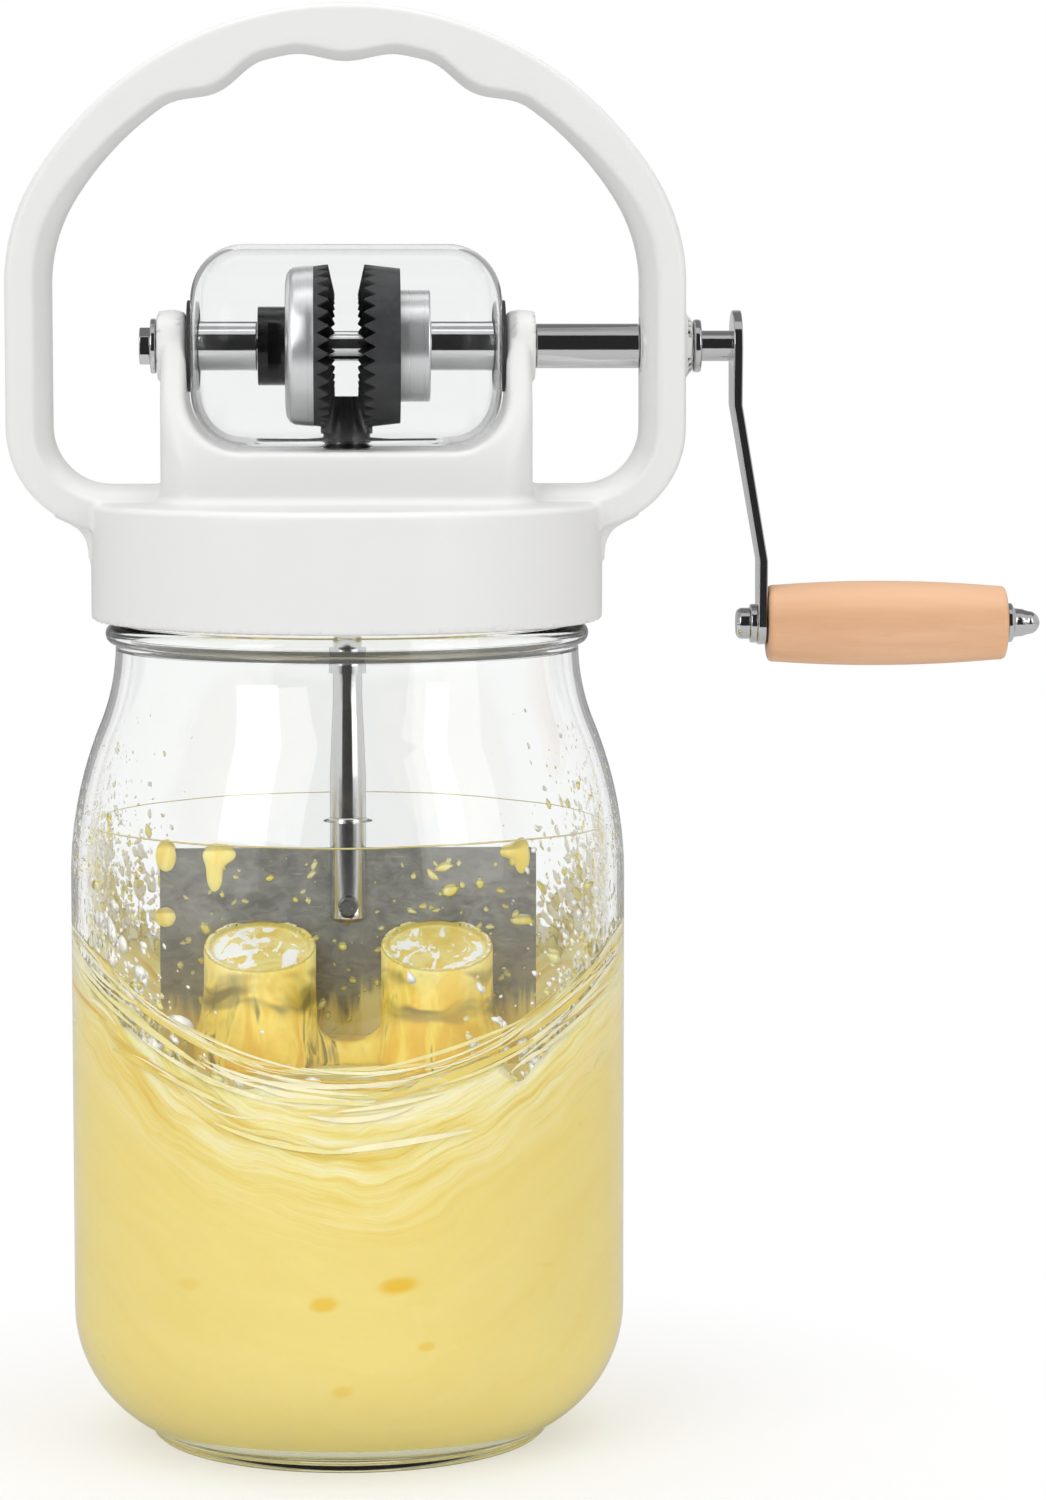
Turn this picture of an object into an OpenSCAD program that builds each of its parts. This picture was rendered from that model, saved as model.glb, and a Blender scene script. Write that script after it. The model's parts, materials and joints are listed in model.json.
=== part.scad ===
// Hand-cranked butter churn on a glass jar.
// The origin is the centre of the foot of the jar, +Z is up and +X points to the crank.
// All lengths are in millimetres.

/* [Jar] */
// Height of the glass rim above the table
jar_h = 181; // [165:1:200]
// Outer radius of the body of the jar
jar_r = 55; // [52:0.5:60]
// Thickness of the glass wall
jar_wall = 3; // [2:0.25:4]
// Thickness of the glass bottom at its middle
jar_floor = 6.5; // [5:0.5:9]
// Outer radius of the neck under the bead
neck_r = 45.8; // [44:0.2:46.4]
// Height at which the shoulder starts to draw in
shoulder_z = 112; // [95:1:125]
// Share of the shoulder that bulges outwards before it turns to the neck
shoulder_share = 0.66; // [0.4:0.02:0.8]
// Radius of the curve from the side to the foot
heel_r = 26; // [18:1:32]
// Height of the foot ring below the heel
foot_h = 2.4; // [1.5:0.1:4]
// Width of the flat ring that the jar stands on
foot_w = 6; // [3:0.5:9]
// Rise of the glass inside the foot ring
push_up = 2; // [1:0.25:3]
// Radius of the bead under the lid
bead_r = 2; // [1.2:0.1:2.2]

/* [Lid] */
// Outer radius of the screw lid
lid_r = 50.5; // [49.5:0.25:54]
// Height of the screw lid
lid_h = 23.3; // [18:0.5:28]
// Thickness of the lid's skirt
lid_wall = 2.2; // [1.6:0.1:2.4]
// Thickness of the lid's top plate
lid_plate = 3; // [2:0.25:5]
// Radius of the lid's top edge
lid_edge = 2; // [1:0.25:3]
// Thickness of the flat gasket on the rim
gasket_t = 2.5; // [1.5:0.25:4]
// Depth of the boss under the lid that holds the spindle's bush
boss_h = 9.5; // [7:0.5:13]

/* [Carrying handle] */
// Height of the handle above the lid
handle_h = 97; // [90:1:110]
// Half of the handle's width
handle_x = 66.5; // [64:0.5:74]
// How far the radius of the handle's top arc passes half of its width
arc_over = 5; // [3:0.5:17]
// Thickness of the handle's band
band_t = 8.6; // [7:0.2:10]
// Depth of the handle from front to back
band_d = 22; // [16:0.5:28]
// Radius of the handle's lower corners
low_corner_r = 20; // [16:0.5:24]
// Radius of the handle's upper corners
top_corner_r = 40; // [13:0.5:48]
// Height of the finger ridges on the grip
ridge_h = 2.6; // [1:0.2:4]
// Angle between two finger ridges
ridge_step = 24.6; // [18:0.2:26]
// Depth of the web under each lower corner
web_d = 12; // [6:0.5:16]
// Radius of the hollow edge of the web
web_r = 8.2; // [6:0.2:10]

/* [Gear yoke] */
// Half of the yoke's width
yoke_x = 36.3; // [35.3:0.1:37.5]
// Depth of the yoke from front to back
yoke_d = 40; // [34:0.5:50]
// Radius of the yoke's upright corners
yoke_corner = 8; // [4:0.5:12]
// Height of the cradle's floor above the lid
cradle_h = 10.2; // [8:0.2:16]
// Radius of the rounded ears about the shaft
ear_r = 6.9; // [6.2:0.1:8]
// Height of the round pads outside the ears
ear_pad = 0.9; // [0.5:0.1:1.5]
// Fillet between the yoke's foot and the lid
foot_fillet = 2.5; // [1:0.25:4]
// Wall of the hollow foot of the yoke
yoke_wall = 2.6; // [2:0.1:4]

/* [Gear cover] */
// Outer radius of the clear cover about the shaft
cover_r = 20; // [19.4:0.1:22]
// Half of the cover's length
cover_x = 30.6; // [28:0.2:32]
// Radius of the cover's rounded ends
cover_corner = 10.5; // [8:0.25:12]
// Wall of the clear cover
cover_wall = 2; // [1.2:0.1:2.4]
// Thickness of the rubber rings between cover and ears
ring_t = 0.7; // [0.5:0.1:1.5]
// Outer radius of the rubber rings
ring_r = 9; // [7.5:0.25:9.4]

/* [Gears] */
// Teeth on each large bevel gear
gear_teeth = 36; // [24:12:48]
// Teeth on the pinion
pinion_teeth = 10; // [8:2:12]
// Distance from the common point of the axes to the outer ends of the teeth
cone_len = 16.4; // [15:0.1:16.8]
// Length of the teeth
tooth_len = 6; // [4:0.25:7]
// Height of the large gears' teeth above their pitch line
gear_add = 0.85; // [0.6:0.05:0.9]
// Depth of the large gears' gaps below their pitch line
gear_ded = 1.35; // [1.25:0.05:1.5]
// Height of the pinion's teeth above their pitch line
pinion_add = 0.75; // [0.5:0.05:0.8]
// Depth of the pinion's gaps below their pitch line
pinion_ded = 1.2; // [1.1:0.05:1.3]
// Half of the opening angle of the large gears' gaps
gear_flank = 30; // [29:0.5:31]
// Half of the opening angle of the pinion's gaps
pinion_flank = 35.8; // [35:0.2:37]
// Length of the large gears' rim behind the pitch circle
rim_len = 6.2; // [4.5:0.1:7]
// Radius of the drive gear's metal hub
drive_hub_r = 11; // [8:0.25:12.5]
// Radius of the idler gear's metal hub
idler_hub_r = 13; // [9:0.25:13.5]
// Length by which the drive gear's hub stands out behind it
drive_hub_len = 5.9; // [3:0.1:7]
// Length by which the idler gear's hub stands out behind it
idler_hub_len = 1.4; // [0.8:0.1:3]
// Radius of the idler gear's bush
idler_bush_r = 7.75; // [6:0.25:8.5]
// Length of the idler gear's bush outside the hub
idler_bush_len = 5.4; // [3:0.1:6.5]

/* [Crank] */
// Radius of the crank shaft
shaft_r = 3; // [2.5:0.1:3.3]
// Radius of the sleeves on the shaft inside the cover
sleeve_r = 4.9; // [4.2:0.1:5]
// Radius of the sleeve on the shaft between yoke and handle
outer_sleeve_r = 4.4; // [3.8:0.1:5]
// Radius of the bearing bushes of the shaft
bush_r = 5; // [4.4:0.1:5.6]
// Height of the boss outside the handle
handle_boss = 1.7; // [1:0.1:3]
// Thickness of the collar outside the handle's boss
collar_t = 1.6; // [1:0.1:3]
// Length of bare shaft between collar and arm
neck_len = 6.1; // [4:0.1:9]
// Distance from the shaft to the grip
crank_len = 55; // [45:0.5:60]
// Thickness of the crank's arm
arm_t = 1.8; // [1.4:0.1:3]
// Step of the arm away from the jar
arm_step = 5.3; // [3:0.1:8]
// Radius of the arm at the shaft
arm_top_r = 7; // [5:0.25:9]
// Radius of the arm at the grip
arm_low_r = 4.2; // [3.5:0.1:6]
// Length of the wooden grip
grip_len = 47.6; // [40:0.2:60]
// Radius of the grip at its thickest
grip_r = 8.4; // [7:0.1:10]
// Radius of the bolt through the grip
bolt_r = 2.5; // [2:0.1:3]

/* [Dasher] */
// Radius of the spindle under the pinion
spindle_r = 2.5; // [2:0.1:2.6]
// Radius of the coupling sleeve
coupling_r = 3.65; // [3.3:0.05:4.5]
// Gap between the lid's boss and the coupling sleeve
coupling_drop = 2; // [0.6:0.2:9.4]
// Radius of the rod that carries the paddle
rod_r = 3.6; // [3.2:0.1:4.5]
// Length of the rod below the coupling sleeve
rod_len = 49.6; // [47.4:0.2:62.4]
// Height of the paddle's top edge above the lower end of the rod
paddle_lap = 14.6; // [9.2:0.2:19.2]
// Width of the paddle
paddle_w = 75; // [60:0.5:80]
// Height of the paddle
paddle_h = 43.5; // [36:0.5:60]
// Thickness of the paddle's sheet
paddle_t = 1.2; // [0.8:0.1:2]
// Radius of the two holes in the paddle
hole_r = 10; // [7:0.25:12]
// Distance from the rod to the middle of each hole
hole_x = 17.4; // [16:0.2:22]

/* [Butter] */
// Distance from the paddle's lower edge down to the butter
butter_drop = 6.5; // [5:0.5:20]
// Depth of the hollow that the paddle leaves in the butter
butter_dip = 2.4; // [1:0.2:6]
// Rise of the butter on the glass in front and behind
butter_front = 12.6; // [6:0.2:18]
// Rise of the butter on the glass at both sides
butter_side = 33.6; // [24:0.2:38]

/* [Fits] */
// Radial running clearance of a shaft in its bush
run = 0.05; // [0.02:0.01:0.1]
// Gap between faces that turn past each other
face_gap = 0.2; // [0.1:0.05:0.4]
// Gap round pieces that pass through an opening
pass_gap = 0.6; // [0.4:0.1:0.8]

/* [Hidden] */
$fn = 96;
eps = 0.01;

// Heights from the jar's rim upwards
lid_top = jar_h + gasket_t + lid_plate;
lid_low = lid_top - lid_h;
lid_in_r = lid_r - lid_wall;
plate_z = jar_h + gasket_t;
bead_gap = 0.7;
bead_z = lid_low - bead_gap - bead_r;
cradle_z = lid_top + cradle_h;
cover_gap = 0.3;
shaft_z = cradle_z + cover_gap + cover_r;
boss_low = plate_z - boss_h;
boss_r = 9;
gasket_lip = 1;
seal_h = 3;
seal_r = 7;

// The dasher hangs from the lid
coupling_h = 19.6;
coupling_z = boss_low - coupling_drop - coupling_h;
rod_low_z = coupling_z - rod_len;
paddle_top_z = rod_low_z + paddle_lap;

// Ear and pad planes, measured outwards from the middle of the yoke
ear_in = cover_x + ring_t;
pad_x = yoke_x + ear_pad;

// The jar's outline
neck_top = bead_z - bead_r;
shoulder_rise = neck_top - shoulder_z;
shoulder_drop = jar_r - neck_r;
shoulder_angle = 2 * atan(shoulder_drop / shoulder_rise);
shoulder_sum = shoulder_rise / sin(shoulder_angle);
bulge_r = shoulder_share * shoulder_sum;
hollow_r = shoulder_sum - bulge_r;
finish_step = 0.3;
finish_r = neck_r - finish_step;
rim_round = 1.2;
heel_extra = 1;
in_heel_r = heel_r - jar_wall - heel_extra;
foot_r = jar_r - heel_r + sqrt(pow(heel_r, 2) - pow(heel_r - foot_h, 2));
foot_edge = 1.2;
foot_slope = 2;
foot_c = 0.4;

// The butter, clear of the paddle's sweep
wet_gap = 0.1;
film_t = 0.8;
sweep_gap = 1.7;
sweep_r = paddle_w / 2 + sweep_gap;
butter_z = paddle_top_z - paddle_h - butter_drop;

// The handle's arcs
band_in_x = handle_x - band_t;
handle_arc_r = handle_x + arc_over;
arc_z = lid_top + handle_h - handle_arc_r;
top_corner_x = handle_x - top_corner_r;
top_corner_z = arc_z + sqrt(pow(handle_arc_r - top_corner_r, 2) - pow(top_corner_x, 2));
top_corner_a = atan2(top_corner_z - arc_z, top_corner_x);
bar_h = 3.3;
bar_low = lid_top + bar_h - band_t;
low_corner_z = bar_low + low_corner_r;
web_drop = 5.5;
low_corner_x = handle_x - low_corner_r;
bevel_w = 3;
bevel_d = 5;
edge_c = 1.5;
lap_len = 0.5;
lap_step = 0.03;
ridge_share = 0.36;
handle_boss_x = handle_x + handle_boss;

// Bevel gear angles, and the places along the shaft that follow from them
gear_pitch = atan(gear_teeth / pinion_teeth);
pinion_pitch = 90 - gear_pitch;
inner_len = cone_len - tooth_len;
gear_root = gear_pitch - atan(gear_ded / cone_len);
pinion_root = pinion_pitch - atan(pinion_ded / cone_len);
pitch_x = cone_len * cos(gear_pitch);
rim_back = pitch_x + rim_len;
web_front = 4.2;
hub_sink = 3.6;
hub_seat = rim_back - hub_sink;
nose_r = 5;
drive_end = rim_back + drive_hub_len;
idler_hub_end = rim_back + idler_hub_len;
idler_end = idler_hub_end + idler_bush_len;
gap_h = 4;
pinion_flange_r = cone_point(pinion_pitch, cone_len, pinion_add)[0];
collar_r = 4.65;
flange_t = 1.6;
tip_c = 0.8;

// The crank, from the handle outwards
collar_x = handle_boss_x + face_gap;
arm_x = collar_x + collar_t + neck_len;
arm_low_x = arm_x + arm_step;
grip_z = shaft_z - crank_len;
grip_x = arm_low_x + arm_t + face_gap;
bolt_end = grip_x + grip_len + face_gap;
bend_top_share = 0.21;
bend_low_share = 0.77;
tenon_w = 4.2;
boss_lip = 0.2;
washer_lip = 0.4;
stub_r = 2;
washer_t = 1.1;
nut_t = 2.2;
bolt_washer_t = 1.4;
bolt_washer_lip = 1.35;
bolt_head_h = 2.8;
bolt_head_lip = 0.6;
bolt_head_round = 1.2;
bolt_thread = 3;
finial_lip = 1.4;
finial_rim = 1.1;
finial_slope = 1.5;
finial_seat = 3.2;
finial_dome = 4.4;
finial_step = 0.2;

// The dasher
pinion_low = cradle_z + face_gap;
spindle_gap = 0.4;
spindle_top = shaft_z - cone_len - spindle_gap;
rod_stub = 9.6;
spindle_low = coupling_z + rod_stub;
pin_z = coupling_z + 0.25 * coupling_h;
screw_rise = 3.4;
screw_z = rod_low_z + screw_rise;
hole_drop = 24.4;
slot_gap = 0.05;
screw_r = 1.25;
head_r = 1.9;
head_seat = 2.9;
pin_r = 0.8;
pin_short = 0.2;
rod_step = 0.7;
rod_neck_h = 5.4;
rod_taper_h = 21;
rod_chamfer = 0.8;
head_gap = 0.1;
head_h = 1.2;
screw_short = 0.4;

// Points on an arc about c, from angle a0 to angle a1 in n steps
function arc(c, r, a0, a1, n = 12) = [for (i = [0:n]) let (a = a0 + (a1 - a0) * i / n)
    c + r * [cos(a), sin(a)]];

// Point of a bevel gear's outline at cone distance s, h above the pitch line at the outer end
function cone_point(pitch, s, h) = [s * sin(pitch) + h * s / cone_len * cos(pitch),
    s * cos(pitch) - h * s / cone_len * sin(pitch)];

// Angle at which a line leaves a circle of radius r towards a point at distance d
function tangent_angle(r, d) = acos(r / d);

// Turns a shape that stands on +Z to point along +X, at the height of the shaft
module on_shaft() {
    translate([0, 0, shaft_z]) rotate([0, 90, 0]) children();
}

// Turns a shape that stands on +Z to point along +X, at the height of the grip
module on_grip() {
    translate([0, 0, grip_z]) rotate([0, 90, 0]) children();
}

// Round tube between two places along its axis
module tube(low, high, outer, inner) {
    translate([0, 0, low]) difference() {
        cylinder(r = outer, h = high - low);
        translate([0, 0, -1]) cylinder(r = inner, h = high - low + 2);
    }
}

// Round bar between two places along its axis
module bar(low, high, r) {
    translate([0, 0, low]) cylinder(r = r, h = high - low);
}

// Rectangle with round corners, centred on the origin
module round_rect(w, d, r) {
    square([w, d - 2 * r], center = true);
    square([w - 2 * r, d], center = true);
    for (x = [-1, 1], y = [-1, 1]) {
        translate([x * (w / 2 - r), y * (d / 2 - r)]) circle(r);
    }
}

// Hollow corner between a floor and an upright wall
module fillet_profile(r) {
    difference() {
        square(r);
        translate([r, r]) circle(r);
    }
}

// Fillet that runs round the foot of a wall with round corners
module fillet_ring(w, d, corner, r) {
    for (x = [0, 1], y = [0, 1]) {
        mirror([x, 0, 0]) mirror([0, y, 0]) {
            translate([w / 2 - corner, d / 2 - corner, 0]) rotate_extrude(angle = 90) {
                translate([corner, 0]) fillet_profile(r);
            }
        }
    }
    for (y = [0, 1]) {
        mirror([0, y, 0]) translate([-(w / 2 - corner), d / 2, 0]) rotate([90, 0, 90]) {
            linear_extrude(w - 2 * corner) fillet_profile(r);
        }
    }
    for (x = [0, 1]) {
        mirror([x, 0, 0]) translate([w / 2, d / 2 - corner, 0]) rotate([90, 0, 0]) {
            linear_extrude(d - 2 * corner) fillet_profile(r);
        }
    }
}

// Blown and pressed jar: foot ring, heel, straight body, shoulder, neck, bead and finish
module glass_jar() {
    ring_in = foot_r - foot_edge - foot_w;
    outer = concat(
        [[0, push_up], [ring_in - foot_slope, push_up / 2], [ring_in, 0]],
        [[foot_r - foot_edge, 0], [foot_r - foot_c, foot_edge - foot_c]],
        arc([jar_r - heel_r, heel_r], heel_r, asin(foot_h / heel_r - 1), 0),
        arc([jar_r - bulge_r, shoulder_z], bulge_r, 0, shoulder_angle),
        arc([neck_r + hollow_r, neck_top], hollow_r, 180 + shoulder_angle, 180),
        arc([neck_r, bead_z], bead_r, -90, 90),
        [[finish_r, bead_z + bead_r]],
        arc([finish_r - rim_round, jar_h - rim_round], rim_round, 0, 90, 6));
    inner = concat(
        arc([neck_r - jar_wall + rim_round, jar_h - rim_round], rim_round, 90, 180, 6),
        arc([neck_r + hollow_r, neck_top], hollow_r + jar_wall, 180, 180 + shoulder_angle),
        arc([jar_r - bulge_r, shoulder_z], bulge_r - jar_wall, shoulder_angle, 0),
        arc([jar_r - jar_wall - in_heel_r, jar_floor + in_heel_r], in_heel_r, 0, -90),
        [[0, jar_floor]]);
    color("lightcyan", 0.4) rotate_extrude() polygon(concat(outer, inner));
}

// Room inside the jar up to its shoulder, less a hair all round
module jar_room() {
    gap = wet_gap;
    rotate_extrude() polygon(concat(
        [[0, jar_floor + gap]],
        arc([jar_r - jar_wall - in_heel_r, jar_floor + in_heel_r], in_heel_r - gap, -90, 0),
        arc([jar_r - bulge_r, shoulder_z], bulge_r - jar_wall - gap, 0, shoulder_angle),
        [[0, shoulder_z + (bulge_r - jar_wall - gap) * sin(shoulder_angle)]]));
}

// Butter under the paddle, with a shallow hollow on top
module butter() {
    color("khaki") difference() {
        jar_room();
        rotate_extrude() polygon([[0, butter_z - butter_dip], [sweep_r, butter_z], [2 * jar_r, butter_z],
            [2 * jar_r, jar_h], [0, jar_h]]);
    }
}

// Butter thrown up the glass by the paddle: low in front and behind, high at both sides
module butter_rim() {
    wall_r = jar_r - jar_wall;
    scoop_rise = butter_side - butter_front;
    scoop_r = (pow(wall_r, 2) + pow(scoop_rise, 2)) / (2 * scoop_rise);
    hollow = [for (a = [0:10:90])
        [sweep_r + (wall_r - film_t - sweep_r) * sin(a), butter_z + (butter_side + film_t) * (1 - cos(a))]];
    color("khaki") difference() {
        jar_room();
        cylinder(r = 2 * jar_r, h = butter_z);
        rotate_extrude() polygon(concat([[0, butter_z - eps], [sweep_r, butter_z - eps]], hollow,
            [[wall_r - film_t, jar_h], [0, jar_h]]));
        translate([0, 0, butter_z + butter_front + scoop_r]) rotate([90, 0, 0]) {
            cylinder(r = scoop_r, h = 4 * jar_r, center = true);
        }
    }
}

// Flat rubber ring between the glass rim and the lid
module lid_gasket() {
    color("whitesmoke") tube(jar_h, plate_z - run, lid_in_r - pass_gap, neck_r - jar_wall - gasket_lip);
}

// Outside of the lid, as a filled shape that other pieces are cut to
module lid_solid(grow = 0) {
    rotate_extrude() polygon(concat(
        [[0, lid_low - grow], [lid_r + grow, lid_low - grow]],
        arc([lid_r - lid_edge, lid_top - lid_edge], lid_edge + grow, 0, 90, 8),
        [[0, lid_top + grow]]));
}

// Screw lid: a cap with a round top edge and a boss for the spindle's bush
module screw_lid() {
    color("white") difference() {
        union() {
            difference() {
                lid_solid();
                bar(lid_low - 1, plate_z, lid_in_r);
            }
            bar(boss_low, plate_z + eps, boss_r);
        }
        bar(boss_low - 1, lid_top + 1, bush_r);
        bar(boss_low - 1, boss_low + seal_h, seal_r);
    }
}

// Section of the handle's band: flat faces, bevelled towards the hand, and slimmer all round by step
module band_section(step = 0) {
    h = band_d / 2 - step;
    low = bevel_d - band_d / 2;
    edge = edge_c - band_d / 2;
    outer = band_t - step;
    polygon([[step, low], [bevel_w, -h], [band_t - edge_c, -h], [outer, edge],
        [outer, -edge], [band_t - edge_c, h], [bevel_w, h], [step, -low]]);
}

// Stretch of the band along an arc, with its inner side towards the centre
module band_arc(x, z, outer, from, to, step = 0) {
    translate([x, z, 0]) rotate(from) rotate_extrude(angle = to - from) {
        translate([outer - band_t, 0]) band_section(step);
    }
}

// Top arc of the band: a hair slimmer than its corners, and lapped into them, so that they join as one
module top_arc() {
    lap = lap_len / handle_arc_r * 180 / PI;
    band_arc(0, arc_z, handle_arc_r, top_corner_a - lap, 180 - top_corner_a + lap, lap_step);
}

// Smooth ridge between two fingers, on the inside of the top arc
module finger_ridge() {
    half = ridge_share * ridge_step;
    inner = handle_arc_r - band_t;
    steps = 10;
    ridge = [for (i = [-steps:steps]) let (a = half * i / steps, rise = pow(cos(90 * i / steps), 2))
        (inner - ridge_h * rise) * [sin(a), cos(a)]];
    back = [for (s = [1, -1]) (inner + bevel_w) * [sin(s * half), cos(s * half)]];
    linear_extrude(band_d - 2 * bevel_d, center = true) polygon(concat(ridge, back));
}

// One half of the handle's band, drawn in its own plane
module band_half() {
    band_arc(top_corner_x, top_corner_z, top_corner_r, 0, top_corner_a);
    translate([band_in_x, low_corner_z, 0]) rotate([-90, 0, 0]) {
        linear_extrude(top_corner_z - low_corner_z) band_section();
    }
    band_arc(low_corner_x, low_corner_z, low_corner_r, -90, 0);
    translate([low_corner_x, lid_top + bar_h, 0]) rotate([90, 0, -90]) {
        linear_extrude(low_corner_x - yoke_x) band_section();
    }
    translate([lid_r - lid_edge, bar_low - web_drop, -web_d / 2]) linear_extrude(web_d) difference() {
        square([lid_edge + 0.75 * web_r, 1.1 * web_r]);
        translate([lid_edge + web_r, 0]) circle(web_r);
    }
}

// Carrying handle: a D-shaped band whose feet lie on the lid and wrap its edge
module carry_handle() {
    color("white") difference() {
        union() {
            rotate([90, 0, 0]) {
                top_arc();
                band_half();
                mirror([1, 0, 0]) band_half();
                for (i = [-1:1]) {
                    translate([0, arc_z, 0]) rotate(i * ridge_step) finger_ridge();
                }
            }
            on_shaft() translate([0, 0, handle_x - eps]) {
                cylinder(h = handle_boss + eps, r1 = ear_r, r2 = bush_r + boss_lip);
            }
        }
        lid_solid();
        on_shaft() bar(band_in_x - 1, handle_boss_x + 1, bush_r);
    }
}

// Outline of the yoke from the side: a broad foot that narrows to the round ears
module yoke_side() {
    half = yoke_d / 2;
    reach = norm([half, shaft_z - cradle_z]);
    a = tangent_angle(ear_r, reach) - atan2(shaft_z - cradle_z, half);
    touch = [ear_r * cos(a), shaft_z + ear_r * sin(a)];
    polygon([[-half, lid_top], [half, lid_top], [half, cradle_z], touch,
        [-touch[0], touch[1]], [-half, cradle_z]]);
    translate([0, shaft_z]) circle(ear_r);
}

// Cradle that the clear cover lies in, seen from the front
module cradle_cut() {
    r = cover_corner + cover_gap;
    translate([-ear_in, cradle_z + r]) square([2 * ear_in, 2 * cover_r]);
    translate([-ear_in + r, cradle_z]) square([2 * (ear_in - r), 2 * cover_r]);
    for (x = [-1, 1]) {
        translate([x * (ear_in - r), cradle_z + r]) circle(r);
    }
}

// Yoke: a hollow foot on the lid and two ears that carry the shaft
module gear_yoke() {
    inner_w = 2 * (yoke_x - yoke_wall);
    inner_d = yoke_d - 2 * yoke_wall;
    color("white") difference() {
        union() {
            intersection() {
                translate([0, 0, lid_top]) linear_extrude(handle_h) {
                    round_rect(2 * yoke_x, yoke_d, yoke_corner);
                }
                rotate([90, 0, 90]) translate([0, 0, -yoke_x]) linear_extrude(2 * yoke_x) yoke_side();
            }
            on_shaft() bar(-pad_x, pad_x, ear_r);
            translate([0, 0, lid_top]) fillet_ring(2 * yoke_x, yoke_d, yoke_corner, foot_fillet);
        }
        translate([0, yoke_d, 0]) rotate([90, 0, 0]) linear_extrude(2 * yoke_d) cradle_cut();
        on_shaft() bar(-pad_x - 1, pad_x + 1, bush_r);
        difference() {
            translate([0, 0, lid_top - 1]) linear_extrude(cradle_h + 1 - yoke_wall) {
                round_rect(inner_w, inner_d, yoke_corner - yoke_wall);
            }
            bar(lid_top - 2, cradle_z, bush_r + yoke_wall);
        }
        bar(lid_top - 1, cradle_z + 1, bush_r);
        for (x = [-1, 1]) {
            translate([x * (yoke_x + foot_fillet), 0, lid_top]) {
                cube([2 * foot_fillet, band_d, 4 * foot_fillet], center = true);
            }
        }
    }
}

// Half outline of the clear cover, from its axis outwards
module cover_outline(inset) {
    r = cover_corner - inset;
    x = cover_x - inset;
    intersection() {
        round_rect(2 * (cover_r - inset), 2 * x, r);
        translate([0, -x]) square([cover_r, 2 * x]);
    }
}

// Whole clear cover: a barrel with round ends, holes for the shaft and one for the pinion
module cover_shell() {
    difference() {
        on_shaft() rotate_extrude() difference() {
            cover_outline(0);
            cover_outline(cover_wall);
        }
        on_shaft() bar(-cover_x - 1, cover_x + 1, sleeve_r + pass_gap);
        bar(cradle_z, shaft_z - cover_r / 2, pinion_flange_r + pass_gap);
    }
}

// One half of the cover, split through its axis
module cover_half(side) {
    color("azure", 0.3) intersection() {
        cover_shell();
        translate([-cover_x - 1, side > 0 ? 0 : -cover_r - 1, shaft_z - cover_r - 1]) {
            cube([2 * cover_x + 2, cover_r + 1, 2 * cover_r + 2]);
        }
    }
}

// Front half of the clear cover
module cover_front() {
    cover_half(-1);
}

// Rear half of the clear cover
module cover_rear() {
    cover_half(1);
}

// Rubber ring between one end of the cover and its ear
module cover_ring_left() {
    color("dimgray") on_shaft() tube(-ear_in, -cover_x, ring_r, sleeve_r + pass_gap);
}

// Rubber ring at the crank end of the cover
module cover_ring_right() {
    color("dimgray") on_shaft() tube(cover_x, ear_in, ring_r, sleeve_r + pass_gap);
}

// Plain bearing in the left ear
module bush_left() {
    color("gainsboro") on_shaft() tube(-pad_x, -ear_in, bush_r, shaft_r + run);
}

// Plain bearing in the right ear
module bush_right() {
    color("gainsboro") on_shaft() tube(ear_in, pad_x, bush_r, shaft_r + run);
}

// Plain bearing in the handle
module bush_handle() {
    color("gainsboro") on_shaft() tube(band_in_x, handle_boss_x, bush_r, shaft_r + run);
}

// Long plain bearing of the spindle, through the lid and the foot of the yoke
module spindle_bush() {
    color("gainsboro") tube(boss_low + seal_h, cradle_z, bush_r, spindle_r + run);
}

// Rubber seal that keeps the cream out of the spindle's bush
module spindle_seal() {
    color("dimgray") tube(boss_low, boss_low + seal_h, seal_r, spindle_r + run);
}

// Steel shaft with a threaded stub at the left and a square tenon in the arm
module crank_shaft() {
    color("silver") on_shaft() {
        bar(-pad_x - face_gap, arm_x, shaft_r);
        bar(-pad_x - face_gap - washer_t - nut_t, -pad_x, stub_r);
        translate([-tenon_w / 2, -tenon_w / 2, arm_x - eps]) cube([tenon_w, tenon_w, arm_t + eps]);
    }
}

// Chrome sleeve between the left ear and the idler gear
module sleeve_left() {
    color("silver") on_shaft() tube(face_gap - ear_in, -idler_end - face_gap, sleeve_r, shaft_r);
}

// Chrome sleeve between the drive gear's hub and the right ear
module sleeve_right() {
    color("silver") on_shaft() tube(drive_end, ear_in - face_gap, sleeve_r, shaft_r);
}

// Chrome sleeve between the right ear and the handle
module sleeve_outer() {
    color("silver") on_shaft() tube(pad_x + face_gap, band_in_x - face_gap, outer_sleeve_r, shaft_r);
}

// Gap between two teeth: a wedge whose planes all pass through the common point of the axes
module tooth_gap(root, flank, len) {
    rotate([0, root, 0]) linear_extrude(len) {
        polygon([[0, 0], [gap_h, gap_h * tan(flank)], [gap_h, -gap_h * tan(flank)]]);
    }
}

// Large bevel gear on +Z, with the common point of the axes at the origin
module bevel_gear(recess_r) {
    tip_in = cone_point(gear_pitch, inner_len, gear_add);
    tip_out = cone_point(gear_pitch, cone_len, gear_add);
    difference() {
        rotate_extrude() polygon([[nose_r, web_front], [tip_in[0] - tip_c, web_front], tip_in, tip_out,
            [tip_out[0] - tip_c, rim_back], [recess_r, rim_back],
            [recess_r, hub_seat], [nose_r, hub_seat]]);
        for (i = [0:gear_teeth - 1]) {
            rotate(i * 360 / gear_teeth) tooth_gap(gear_root, gear_flank, 1.2 * cone_len);
        }
    }
}

// Drive gear, which turns with the shaft
module drive_gear() {
    color("#2a2a2c") on_shaft() bevel_gear(drive_hub_r);
}

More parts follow.
